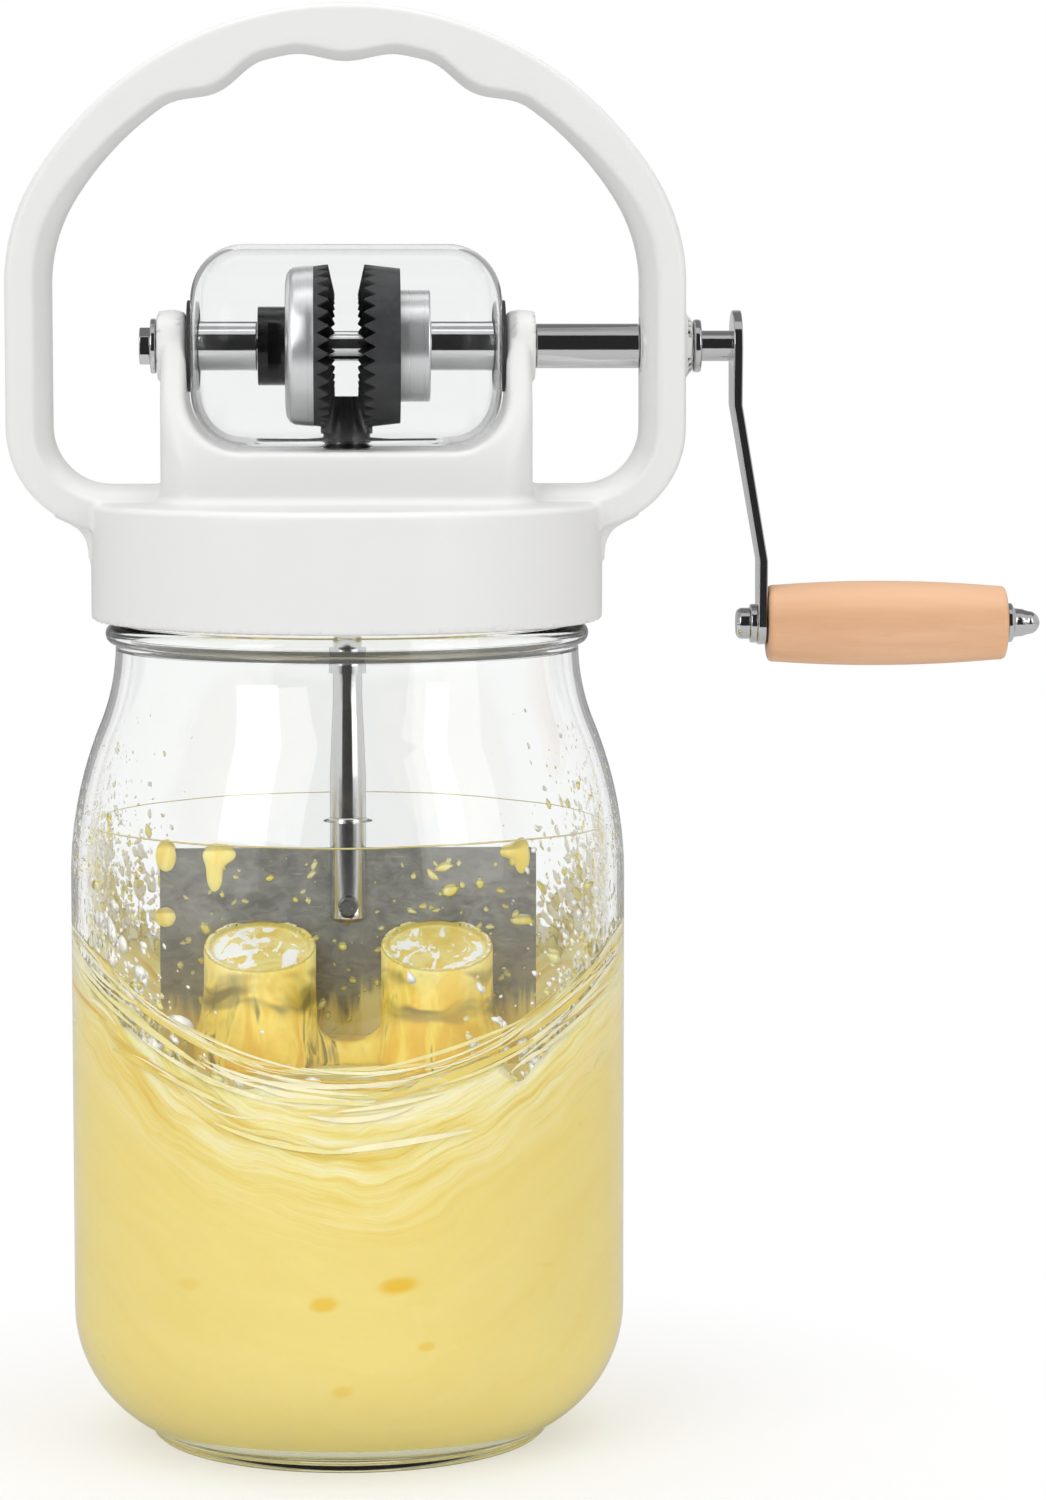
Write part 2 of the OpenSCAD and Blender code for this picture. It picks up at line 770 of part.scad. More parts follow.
// Metal hub that fixes the drive gear to the shaft
module drive_hub() {
    color("darkgray") on_shaft() {
        tube(hub_seat, drive_end, drive_hub_r, shaft_r);
        tube(web_front, hub_seat + eps, nose_r, shaft_r);
    }
}

// Idler gear, which turns the other way on the same shaft
module idler_gear() {
    color("#2a2a2c") mirror([1, 0, 0]) on_shaft() bevel_gear(idler_hub_r);
}

// Metal hub of the idler gear
module idler_hub() {
    color("darkgray") on_shaft() tube(-idler_hub_end, -hub_seat, idler_hub_r, nose_r);
}

// Nylon bush that the idler gear runs on, with a slot across its end
module idler_bush() {
    slot_w = 2.4;
    slot_depth = 3;
    slot_place = 0.4 * idler_bush_len;
    color("#2a2a2c") difference() {
        on_shaft() difference() {
            union() {
                bar(-idler_end, -idler_hub_end, idler_bush_r);
                bar(-idler_hub_end - eps, -web_front, nose_r);
            }
            bar(-idler_end - 1, 0, shaft_r + run);
        }
        for (y = [-1, 1]) {
            translate([-idler_hub_end - slot_place, y * idler_bush_r, shaft_z]) {
                cube([slot_w, slot_depth, 2 * bush_r], center = true);
            }
        }
    }
}

// Thin washer under the nut at the left end of the shaft
module end_washer() {
    color("silver") on_shaft() {
        tube(-pad_x - face_gap - washer_t, -pad_x - face_gap, bush_r + washer_lip, stub_r);
    }
}

// Nut on the left end of the shaft
module end_nut() {
    nut_flats = 6.4;
    nut_x = -pad_x - face_gap - washer_t;
    color("silver") on_shaft() translate([0, 0, nut_x - nut_t]) difference() {
        cylinder(r = nut_flats / sqrt(3), h = nut_t, $fn = 6);
        translate([0, 0, -1]) cylinder(r = stub_r, h = nut_t + 2);
    }
}

// Collar that keeps the shaft from sliding into the handle
module shaft_collar() {
    color("silver") on_shaft() tube(collar_x, collar_x + collar_t, bush_r + boss_lip, shaft_r);
}

// Outline of the arm seen along the shaft: two round ends joined by straight sides
module arm_face() {
    a = asin((arm_top_r - arm_low_r) / crank_len);
    circle(arm_top_r);
    translate([0, -crank_len]) circle(arm_low_r);
    top = (arm_top_r - eps) * [cos(a), -sin(a)];
    low = (arm_low_r - eps) * [cos(a), -sin(a)] - [0, crank_len];
    polygon([top, [-top[0], top[1]], [-low[0], low[1]], low]);
}

// Outline of the arm seen from the front: two straight ends joined by a slope
module arm_edge() {
    bend_top = shaft_z - bend_top_share * crank_len;
    bend_low = shaft_z - bend_low_share * crank_len;
    top = shaft_z + arm_top_r + 1;
    low = grip_z - arm_low_r - 1;
    polygon([[arm_x, top], [arm_x, bend_top], [arm_low_x, bend_low], [arm_low_x, low],
        [arm_low_x + arm_t, low], [arm_low_x + arm_t, bend_low],
        [arm_x + arm_t, bend_top], [arm_x + arm_t, top]]);
}

// Flat chrome arm with a square hole for the shaft and a round one for the grip's bolt
module crank_arm() {
    color("silver") difference() {
        intersection() {
            translate([0, 0, shaft_z]) rotate([90, 0, 90]) linear_extrude(2 * arm_low_x) arm_face();
            rotate([90, 0, 0]) translate([0, 0, -2 * arm_top_r]) linear_extrude(4 * arm_top_r) arm_edge();
        }
        translate([arm_x + arm_t / 2, 0, shaft_z]) cube([4 * arm_t, tenon_w, tenon_w], center = true);
        on_grip() bar(arm_low_x - 1, arm_low_x + arm_t + 1, bolt_r);
    }
}

// Bolt that the grip turns on, with a domed head on the inside of the arm
module grip_bolt() {
    head = arm_low_x - bolt_washer_t;
    round_x = bolt_r + bolt_head_lip - bolt_head_round;
    color("silver") on_grip() {
        bar(head - eps, bolt_end, bolt_r);
        bar(bolt_end - eps, bolt_end + bolt_thread, stub_r);
        translate([0, 0, head]) rotate([180, 0, 0]) rotate_extrude() polygon(concat(
            [[0, 0], [bolt_r + bolt_head_lip, 0]],
            arc([round_x, bolt_head_h - bolt_head_round], bolt_head_round, 0, 90, 6), [[0, bolt_head_h]]));
    }
}

// Washer between the bolt's head and the arm
module bolt_washer() {
    color("silver") on_grip() tube(arm_low_x - bolt_washer_t, arm_low_x, bolt_r + bolt_washer_lip, bolt_r);
}

// Stepped and domed nut on the outer end of the grip's bolt
module finial_nut() {
    color("silver") on_grip() translate([0, 0, bolt_end]) difference() {
        rotate_extrude() polygon(concat(
            [[0, 0], [bolt_r + finial_lip, 0], [bolt_r + finial_lip, finial_rim]],
            [[bolt_r + 2 * finial_step, finial_slope], [bolt_r + finial_step, finial_seat]],
            arc([0, finial_dome], bolt_r - finial_step, 0, 90, 8)));
        bar(-1, finial_seat, stub_r);
    }
}

// Turned wooden grip: a barrel that is a little slimmer at its outer end
module wooden_grip() {
    drop_in = 0.8;
    drop_out = 1.1;
    lip = 1;
    steps = 16;
    belly = 0.45;
    side = [for (i = [0:steps]) let (t = i / steps, u = t - belly,
        drop = u < 0 ? drop_in * pow(u / belly, 2) : drop_out * pow(u / (1 - belly), 2))
        [grip_r - drop, lip + t * (grip_len - 2 * lip)]];
    color("burlywood") on_grip() translate([0, 0, grip_x]) difference() {
        rotate_extrude() polygon(concat([[0, 0], [grip_r - drop_in - lip, 0]], side,
            [[grip_r - drop_out - lip, grip_len], [0, grip_len]]));
        bar(-1, grip_len + 1, bolt_r + run);
    }
}

// Pinion with a collar that rests on the spindle's bush
module pinion() {
    tip_in = cone_point(pinion_pitch, inner_len, pinion_add);
    tip_out = cone_point(pinion_pitch, cone_len, pinion_add);
    flange_low = tip_out[1] + flange_t;
    color("#2a2a2c") translate([0, 0, shaft_z]) rotate([180, 0, 0]) difference() {
        rotate_extrude() polygon([[0, tip_in[1]], tip_in, tip_out, [tip_out[0], flange_low],
            [collar_r, flange_low], [collar_r, shaft_z - pinion_low], [0, shaft_z - pinion_low]]);
        for (i = [0:pinion_teeth - 1]) {
            rotate((i + 0.5) * 360 / pinion_teeth) {
                tooth_gap(pinion_root, pinion_flank, flange_low / cos(pinion_root));
            }
        }
        bar(shaft_z - spindle_top, shaft_z, spindle_r);
    }
}

// Steel spindle between the pinion and the coupling
module drive_spindle() {
    color("silver") bar(spindle_low, spindle_top, spindle_r);
}

// Sleeve that joins the spindle to the dasher's rod
module coupling_sleeve() {
    color("silver") difference() {
        tube(coupling_z, coupling_z + coupling_h, coupling_r, spindle_r);
        translate([0, 0, pin_z]) rotate([90, 0, 0]) {
            cylinder(r = pin_r, h = 4 * coupling_r, center = true);
        }
    }
}

// Cross pin that drives the rod
module coupling_pin() {
    color("silver") translate([0, 0, pin_z]) rotate([90, 0, 0]) {
        cylinder(r = pin_r, h = 2 * coupling_r - pin_short, center = true);
    }
}

// Dasher's rod: a stub in the coupling, a slim neck that widens, and a slot for the paddle
module dasher_rod() {
    neck = rod_r - rod_step;
    color("silver") difference() {
        rotate_extrude() polygon([[0, spindle_low], [spindle_r, spindle_low], [spindle_r, coupling_z],
            [neck, coupling_z], [neck, coupling_z - rod_neck_h], [rod_r, coupling_z - rod_taper_h],
            [rod_r, rod_low_z + rod_chamfer], [rod_r - rod_chamfer, rod_low_z], [0, rod_low_z]]);
        translate([0, 0, pin_z]) rotate([90, 0, 0]) {
            cylinder(r = pin_r, h = 4 * coupling_r, center = true);
        }
        translate([-2 * rod_r, -paddle_t / 2 - slot_gap, rod_low_z - 1]) {
            cube([4 * rod_r, paddle_t + 2 * slot_gap, paddle_top_z + slot_gap - rod_low_z + 1]);
        }
        translate([0, 0, screw_z]) rotate([90, 0, 0]) {
            cylinder(r = screw_r, h = 4 * rod_r, center = true);
            translate([0, 0, head_seat]) cylinder(r = head_r + head_gap, h = rod_r);
        }
    }
}

// Flat paddle with two round holes
module paddle() {
    corner = 1.5;
    color("gainsboro") difference() {
        translate([0, paddle_t / 2, paddle_top_z - paddle_h / 2]) rotate([90, 0, 0]) {
            linear_extrude(paddle_t) difference() {
                round_rect(paddle_w, paddle_h, corner);
                for (x = [-1, 1]) {
                    translate([x * hole_x, paddle_h / 2 - hole_drop]) circle(hole_r);
                }
            }
        }
        translate([0, 0, screw_z]) rotate([90, 0, 0]) cylinder(r = screw_r, h = 4 * rod_r, center = true);
    }
}

// Screw that holds the paddle in the rod's slot
module paddle_screw() {
    color("silver") translate([0, 0, screw_z]) rotate([90, 0, 0]) {
        translate([0, 0, screw_short - rod_r]) cylinder(r = screw_r, h = rod_r + head_seat - screw_short);
        translate([0, 0, head_seat]) cylinder(r = head_r, h = head_h);
    }
}

glass_jar();
butter();
butter_rim();
lid_gasket();
screw_lid();
carry_handle();
gear_yoke();
cover_front();
cover_rear();
cover_ring_left();
cover_ring_right();
bush_left();
bush_right();
bush_handle();
spindle_bush();
spindle_seal();
crank_shaft();
sleeve_left();
sleeve_right();
sleeve_outer();
drive_gear();
drive_hub();
end_washer();
end_nut();
shaft_collar();
crank_arm();
grip_bolt();
bolt_washer();
finial_nut();
wooden_grip();
idler_gear();
idler_hub();
idler_bush();
pinion();
drive_spindle();
coupling_sleeve();
coupling_pin();
dasher_rod();
paddle();
paddle_screw();
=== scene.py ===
"""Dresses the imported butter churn: glass, white mouldings, gears, chrome, wood, butter and a studio."""

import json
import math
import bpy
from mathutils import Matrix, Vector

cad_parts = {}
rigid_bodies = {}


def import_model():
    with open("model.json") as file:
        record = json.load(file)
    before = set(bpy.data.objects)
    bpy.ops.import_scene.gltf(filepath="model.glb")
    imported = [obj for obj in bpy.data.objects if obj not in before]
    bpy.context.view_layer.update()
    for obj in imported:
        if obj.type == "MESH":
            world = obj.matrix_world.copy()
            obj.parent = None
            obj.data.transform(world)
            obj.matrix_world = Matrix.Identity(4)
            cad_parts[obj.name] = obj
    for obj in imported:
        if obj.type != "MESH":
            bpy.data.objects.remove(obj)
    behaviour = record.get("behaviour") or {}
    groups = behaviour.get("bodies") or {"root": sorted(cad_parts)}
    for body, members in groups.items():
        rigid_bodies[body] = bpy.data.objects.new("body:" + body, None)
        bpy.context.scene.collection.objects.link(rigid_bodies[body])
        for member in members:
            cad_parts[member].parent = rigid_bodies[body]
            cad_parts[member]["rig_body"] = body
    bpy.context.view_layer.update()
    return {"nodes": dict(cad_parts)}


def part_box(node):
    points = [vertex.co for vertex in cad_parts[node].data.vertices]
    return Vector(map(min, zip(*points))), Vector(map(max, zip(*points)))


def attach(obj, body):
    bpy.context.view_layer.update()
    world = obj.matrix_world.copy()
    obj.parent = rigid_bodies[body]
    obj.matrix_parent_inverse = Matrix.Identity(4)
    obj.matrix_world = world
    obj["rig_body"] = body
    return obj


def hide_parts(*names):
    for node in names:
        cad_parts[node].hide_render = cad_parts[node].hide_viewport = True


bl_info = {
    "name": "Butter Churn",
    "version": (1, 0, 0),
    "blender": (4, 5, 0),
    "location": "View3D > Sidebar > Churn",
    "description": "Builds the looks of a glass jar butter churn round its packed frame",
    "category": "Add Mesh",
}

import bmesh
import bpy
import numpy as np
from mathutils import Matrix, Vector

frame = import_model()
NODES = frame["nodes"]
MM = 0.001

# Heights and radii of the frame, in millimetres
SHAFT_Z = 1000 * (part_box("crank_shaft")[0].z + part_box("crank_shaft")[1].z) / 2
GRIP_Z = 1000 * (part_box("wooden_grip")[0].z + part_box("wooden_grip")[1].z) / 2
RIM_Z = 1000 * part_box("glass_jar")[1].z
LID_LOW = 1000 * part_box("screw_lid")[0].z
LID_TOP = 1000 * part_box("screw_lid")[1].z
LID_R = 1000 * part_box("screw_lid")[1].x
JAR_R = 1000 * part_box("glass_jar")[1].x
PADDLE_LOW = 1000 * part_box("paddle")[0].z
PADDLE_TOP = 1000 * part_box("paddle")[1].z
# Radius and place along the shaft of the gear rims' front and back edges
GEAR_RIM = (16.03, 3.57, 15.23, 10.59)
# Rise of the thread of jar and lid in one turn
THREAD_PITCH = 5.0
# Depth of the finest relief in a finish, in metres
FINE_RELIEF = 0.0002


# Shader values


class Value:
    """A shader socket that takes part in Python sums; each operator adds a Math node."""

    def __init__(self, finish, socket):
        self.finish = finish
        self.socket = socket

    def math(self, operation, *values):
        return self.finish.node("ShaderNodeMath", {"operation": operation}, dict(enumerate(values)))

    def __add__(self, other):
        return self.math("ADD", self, other)

    __radd__ = __add__

    def __sub__(self, other):
        return self.math("SUBTRACT", self, other)

    def __rsub__(self, other):
        return self.math("SUBTRACT", other, self)

    def __mul__(self, other):
        return self.math("MULTIPLY", self, other)

    __rmul__ = __mul__

    def __truediv__(self, other):
        return self.math("DIVIDE", self, other)

    def __rtruediv__(self, other):
        return self.math("DIVIDE", other, self)

    def __pow__(self, other):
        return self.math("POWER", self, other)

    def __rpow__(self, other):
        return self.math("POWER", other, self)

    def clamped(self, low, high):
        """The value's way from low to high, as a smooth share from 0 to 1."""
        return self.finish.node(
            "ShaderNodeMapRange",
            {"interpolation_type": "SMOOTHSTEP", "clamp": True},
            {"Value": self, "From Min": low, "From Max": high},
        )


class Finish:
    """One material or world; its nodes come from node() and from sums of values."""

    def __init__(self, name, world=False):
        self.data = bpy.data.worlds.new(name) if world else bpy.data.materials.new(name)
        self.data.use_nodes = True
        self.tree = self.data.node_tree
        self.tree.nodes.clear()
        self.end = self.tree.nodes.new("ShaderNodeOutputWorld" if world else "ShaderNodeOutputMaterial")

    def feed(self, socket, value):
        """Sets a socket to a plain value, or links it to a Value."""
        if isinstance(value, Value):
            self.tree.links.new(value.socket, socket)
        else:
            socket.default_value = value

    def node(self, kind, settings=None, sockets=None, output=0):
        """Adds a node of any kind: its settings first, then its sockets, and gives one of its outputs."""
        made = self.tree.nodes.new(kind)
        for key, value in (settings or {}).items():
            if key == "stops":
                ramp = made.color_ramp.elements
                ramp[0].position, ramp[0].color = value[0]
                ramp[1].position, ramp[1].color = value[-1]
                for place, colour in value[1:-1]:
                    ramp.new(place).color = colour
            else:
                setattr(made, key, value)
        for key, value in (sockets or {}).items():
            self.feed(made.inputs[key], value)
        return Value(self, made.outputs[output])

    def surface(self, shader):
        self.tree.links.new(shader.socket, self.end.inputs["Surface"])
        return self.data

    def place(self):
        """The point on the piece, in metres, in the frame of the part at rest."""
        return self.node("ShaderNodeTexCoord", output="Object")

    def parts_of(self, vector):
        """The three coordinates of a vector."""
        split = self.node("ShaderNodeSeparateXYZ", sockets={0: vector}).socket.node
        return [Value(self, s) for s in split.outputs]

    def upward(self):
        """How far the surface faces up, from -1 to 1."""
        return self.parts_of(self.node("ShaderNodeNewGeometry", output="Normal"))[2]

    def from_shaft(self, y, z):
        """Distance from the axis of the shaft, in metres."""
        height = z - SHAFT_Z * MM
        return (y * y + height * height) ** 0.5

    def light_path(self, output):
        return self.node("ShaderNodeLightPath", output=output)

    def vector(self, x, y, z):
        return self.node("ShaderNodeCombineXYZ", sockets={0: x, 1: y, 2: z})

    def stretch(self, vector, scale):
        return self.node("ShaderNodeVectorMath", {"operation": "MULTIPLY"}, {0: vector, 1: scale})

    def noise(self, vector, scale, detail=3.0, roughness=0.5, distortion=0.0):
        sockets = {"Vector": vector, "Scale": scale, "Detail": detail, "Roughness": roughness}
        return self.node("ShaderNodeTexNoise", sockets={**sockets, "Distortion": distortion})

    def blend(self, share, first, second):
        """Mixes two colours."""
        return self.node("ShaderNodeMix", {"data_type": "RGBA"}, {0: share, 6: first, 7: second}, 2)

    def mixed(self, share, first, second):
        """Mixes two shaders."""
        return self.node("ShaderNodeMixShader", sockets={0: share, 1: first, 2: second})

    def bump(self, height, strength, distance=FINE_RELIEF):
        sockets = {"Height": height, "Strength": strength, "Distance": distance}
        return self.node("ShaderNodeBump", sockets=sockets)

    def principled(self, **sockets):
        """A Principled shader; its sockets go by their names in small letters."""
        names = {k.replace("_", " ").title().replace("Ior", "IOR"): v for k, v in sockets.items()}
        return self.node("ShaderNodeBsdfPrincipled", sockets=names)

    def finished(self, **sockets):
        """The finish with a Principled shader as its surface."""
        return self.surface(self.principled(**sockets))


# Finishes

# Heights between which a finish changes, in metres
FOOT_TINT_Z = (0.004, 0.010)
PADDLE_BUTTER_Z = (0.074, 0.1)
STIRRED_Z = (0.066, 0.094)
CREST_Z = (0.092, 0.112)
# The next two bound the painted glow in the butter: above the bowl's edge, and low at the heel
BOWL_GLOW_Z = (0.06, 0.07)
HEEL_GLOW_Z = (0.006, 0.034)
# Heights of the painted shade under the lobes' tops
UNDER_TOP_SHADE_Z = (0.083, 0.088, 0.0942, 0.0962)
# Radii between which the butter leaves the glass, inside which it carries painted glow, and depths in front
# of the axis that carry pits, in metres
INSIDE_GLOW_R = (0.0508, 0.0516)
PIT_Y = (-0.02, -0.01)
# Rise of the pits in the butter along their length
PIT_SLOPE = 0.08
# Shares of red, green and blue in a pit of the amber, and in wet lobes of the deep butter
PIT_SHARES = (1.04, 1.06, 0.5)
WET_SHARES = (1.04, 1.02, 0.6)
# How much paler cream is than pale butter
CREAM = {"share": 0.65, "lift": 0.35}
# Painted shade on the lobes: olive low down and under the tops, and a darker brown along the rims of the
# tops
OLIVE_SHADE = (0.16, 0.13, 0.035)
LOBE_RIM_SHADE = (0.40, 0.33, 0.09)
# White of the painted glints on the lobes' tops
GLINT_WHITE = (0.98, 0.975, 0.95)
BLACK = (0.0, 0.0, 0.0)
BUTTER_DEPTH = {"subsurface_weight": 0.5, "subsurface_radius": (1.0, 0.7, 0.25), "subsurface_scale": 0.004}


def toned(colour, share=1.0, lift=0.0):
    """A colour with its parts scaled and lifted, up to white, for a socket."""
    return (*(min(share * c + lift, 1.0) for c in colour[:3]), 1.0)


def tinted(colour, shares):
    """A colour with each of its parts scaled by itself."""
    return toned([s * c for s, c in zip(shares, colour)])


def white_plastic(colour):
    """Satin injection-moulded plastic with a very fine grain, with a painted highlight where it faces up."""
    f = Finish("white_plastic")
    place = f.place()
    cloud = f.noise(place, 38.0, 2.0)
    grain = f.noise(place, 2600.0, 2.0)
    shade = f.blend(cloud, toned(colour, 0.975), toned(colour))
    # Painted highlight: a lighter colour where the moulding faces up
    shade = f.blend(f.upward().clamped(0.2, 0.85) * 0.9, shade, toned(colour, 1.27))
    return f.finished(
        base_color=shade,
        roughness=0.25 + 0.12 * f.noise(place, 140.0, 3.0),
        specular_ior_level=0.5,
        normal=f.bump(grain, 0.05),
    )


def clear_glass(name, tint, ior, waviness, foot=None):
    """Clear glass or plastic that lets plain light through; a jar's foot has a tint of its own."""
    f = Finish(name)
    place = f.place()
    x, y, z = f.parts_of(place)
    ripple = f.noise(f.vector(x, y, z * 0.35), waviness, 2.0)
    smudge = f.noise(place, 55.0, 4.0, 0.6).clamped(0.55, 0.8)
    shade = toned(tint)
    if foot is not None:
        shade = f.blend(1.0 - z.clamped(*FOOT_TINT_Z), shade, toned(foot))
    glass = f.principled(
        base_color=shade,
        roughness=0.015 * smudge,
        ior=ior,
        transmission_weight=1.0,
        normal=f.bump(ripple, 0.04, 0.001),
    )
    through = f.node("ShaderNodeBsdfTransparent", sockets={"Color": toned(tint, 0.1, 0.9)})
    return f.surface(f.mixed(f.light_path("Is Shadow Ray"), glass, through))


def polished_metal(name, colour, rough, along):
    """Bright plated metal with faint handling marks and fine lines along one axis."""
    f = Finish(name)
    place = f.place()
    lines = f.noise(f.stretch(place, along), 900.0, 4.0, 0.6)
    marks = f.noise(place, 240.0, 5.0, 0.65)
    return f.finished(
        base_color=f.blend(marks, toned(colour, 0.93), toned(colour)),
        metallic=1.0,
        roughness=rough + 0.5 * rough * marks + 0.25 * rough * lines,
        normal=f.bump(lines, 0.03),
    )


def turned_metal(colour):
    """Turned metal: fine rings about the shaft."""
    f = Finish("turned_hub_metal")
    x, y, z = f.parts_of(f.place())
    rings = f.noise(f.vector(f.from_shaft(y, z) * 40.0, x * 40.0, 0.0), 90.0, 3.0, 0.6)
    return f.finished(
        base_color=f.blend(rings, toned(colour, 0.8), toned(colour)),
        metallic=0.85,
        roughness=0.22 + 0.16 * rings,
        normal=f.bump(rings, 0.12),
    )


def black_nylon(name, colour, rough, shine):
    """Black moulded nylon, a little greyer where it has rubbed."""
    f = Finish(name)
    place = f.place()
    rub = f.noise(place, 420.0, 5.0, 0.6).clamped(0.45, 0.75)
    grain = f.noise(place, 3200.0, 2.0)
    return f.finished(
        base_color=f.blend(rub, toned(colour), toned(colour, 1.25)),
        roughness=rough + 0.06 * rub,
        specular_ior_level=shine,
        normal=f.bump(grain, 0.15),
    )


def toothed_nylon(colour):
    """Black nylon of the large gears: dark grey on the rim, with painted shade that turns the gaps between
    the teeth black.
    """
    f = Finish("gear_nylon")
    place = f.place()
    x, y, z = f.parts_of(place)
    front_r, front_x, back_r, back_x = (v * MM for v in GEAR_RIM)
    rim = front_r + (x.math("ABSOLUTE", x) - front_x) * ((back_r - front_r) / (back_x - front_x))
    # Painted shade: the nylon turns almost black towards the roots of the teeth, where the gaps lie in
    # shade; the gaps are also rougher
    shaded_gaps = (rim - f.from_shaft(y, z)).clamped(0.00012, 0.0009)
    rub = f.noise(place, 420.0, 5.0, 0.6).clamped(0.4, 0.75)
    grain = f.noise(place, 3200.0, 2.0)
    shade = f.blend(rub, toned(colour), toned(colour, 1.5))
    return f.finished(
        base_color=f.blend(shaded_gaps, shade, toned(colour, 0.12)),
        roughness=0.36 + 0.2 * rub + 0.2 * shaded_gaps,
        specular_ior_level=0.2,
        normal=f.bump(grain, 0.15),
    )


def plain_rubber(name, colour, rough):
    """Moulded rubber, silicone or bearing plastic."""
    f = Finish(name)
    place = f.place()
    cloud = f.noise(place, 300.0, 4.0, 0.6)
    grain = f.noise(place, 2400.0, 2.0)
    return f.finished(
        base_color=f.blend(cloud, toned(colour, 0.88), toned(colour)),
        roughness=rough + 0.15 * cloud,
        normal=f.bump(grain, 0.1),
    )


def paddle_steel(colour, pale, deep):
    """Rolled steel sheet: cloudy and scratched, with butter drawn in soft streaks over its lower part."""
    f = Finish("paddle_steel")
    place = f.place()
    x, y, z = f.parts_of(place)
    cloud = f.noise(place, 95.0, 5.0, 0.62, 0.6)
    patch = f.noise(f.stretch(place, (1.0, 1.0, 1.7)), 260.0, 4.0, 0.6, 1.0)
    lines = f.noise(f.stretch(place, (0.08, 1.0, 1.0)), 1500.0, 4.0, 0.6)
    tone = 0.6 * cloud.clamped(0.3, 0.7) + 0.4 * patch.clamped(0.35, 0.65)
    shade = f.blend(tone, toned(colour, 0.5), toned(colour))
    shade = f.blend(lines.clamped(0.6, 0.75) * 0.5, shade, toned(colour, 1.5))
    drawn = f.noise(f.vector(x, y, z * 0.16), 190.0, 4.0, 0.6, 0.5)
    depth = 1.0 - z.clamped(*PADDLE_BUTTER_Z)
    butter = (drawn + 0.5 * depth).clamped(0.66, 0.86) * depth.clamped(0.05, 0.5)
    shade = f.blend(butter * 0.85, shade, f.blend(drawn.clamped(0.4, 0.6), toned(deep), toned(pale)))
    return f.finished(
        base_color=shade,
        metallic=0.6 * (1.0 - butter),
        roughness=0.24 + 0.2 * cloud + 0.08 * lines,
        normal=f.bump(lines + 2.0 * cloud, 0.1, 2 * FINE_RELIEF),
    )


def beech_wood(pale, dark):
    """Beech turned along its grain: soft streaks and short dark flecks, with a painted highlight where it
    faces up.
    """
    f = Finish("beech_wood")
    x, y, z = f.parts_of(f.place())
    depth = z - GRIP_Z * MM
    streaks = f.noise(f.vector(x * 0.09, y, depth), 420.0, 4.0, 0.6, 0.4)
    broad = f.noise(f.vector(x * 0.15, y, depth), 120.0, 2.0, 0.5, 0.6)
    flecks = f.noise(f.vector(x * 0.16, y, depth), 1500.0, 2.0, 0.5).clamped(0.62, 0.74)
    grain = 0.35 * streaks.clamped(0.3, 0.7) + 0.35 * broad.clamped(0.3, 0.7)
    shade = f.blend(grain, toned(pale), toned(dark))
    shade = f.blend(flecks * 0.1, shade, toned(dark, 0.62))
    # Painted highlight: paler wood where the grip faces up
    shade = f.blend(f.upward().clamped(0.15, 0.8) * 0.5, shade, toned(pale, 1.2, 0.06))
    return f.finished(
        base_color=shade,
        roughness=0.32 + 0.16 * streaks + 0.1 * flecks,
        normal=f.bump(streaks - 0.8 * flecks, 0.1, 0.0003),
    )


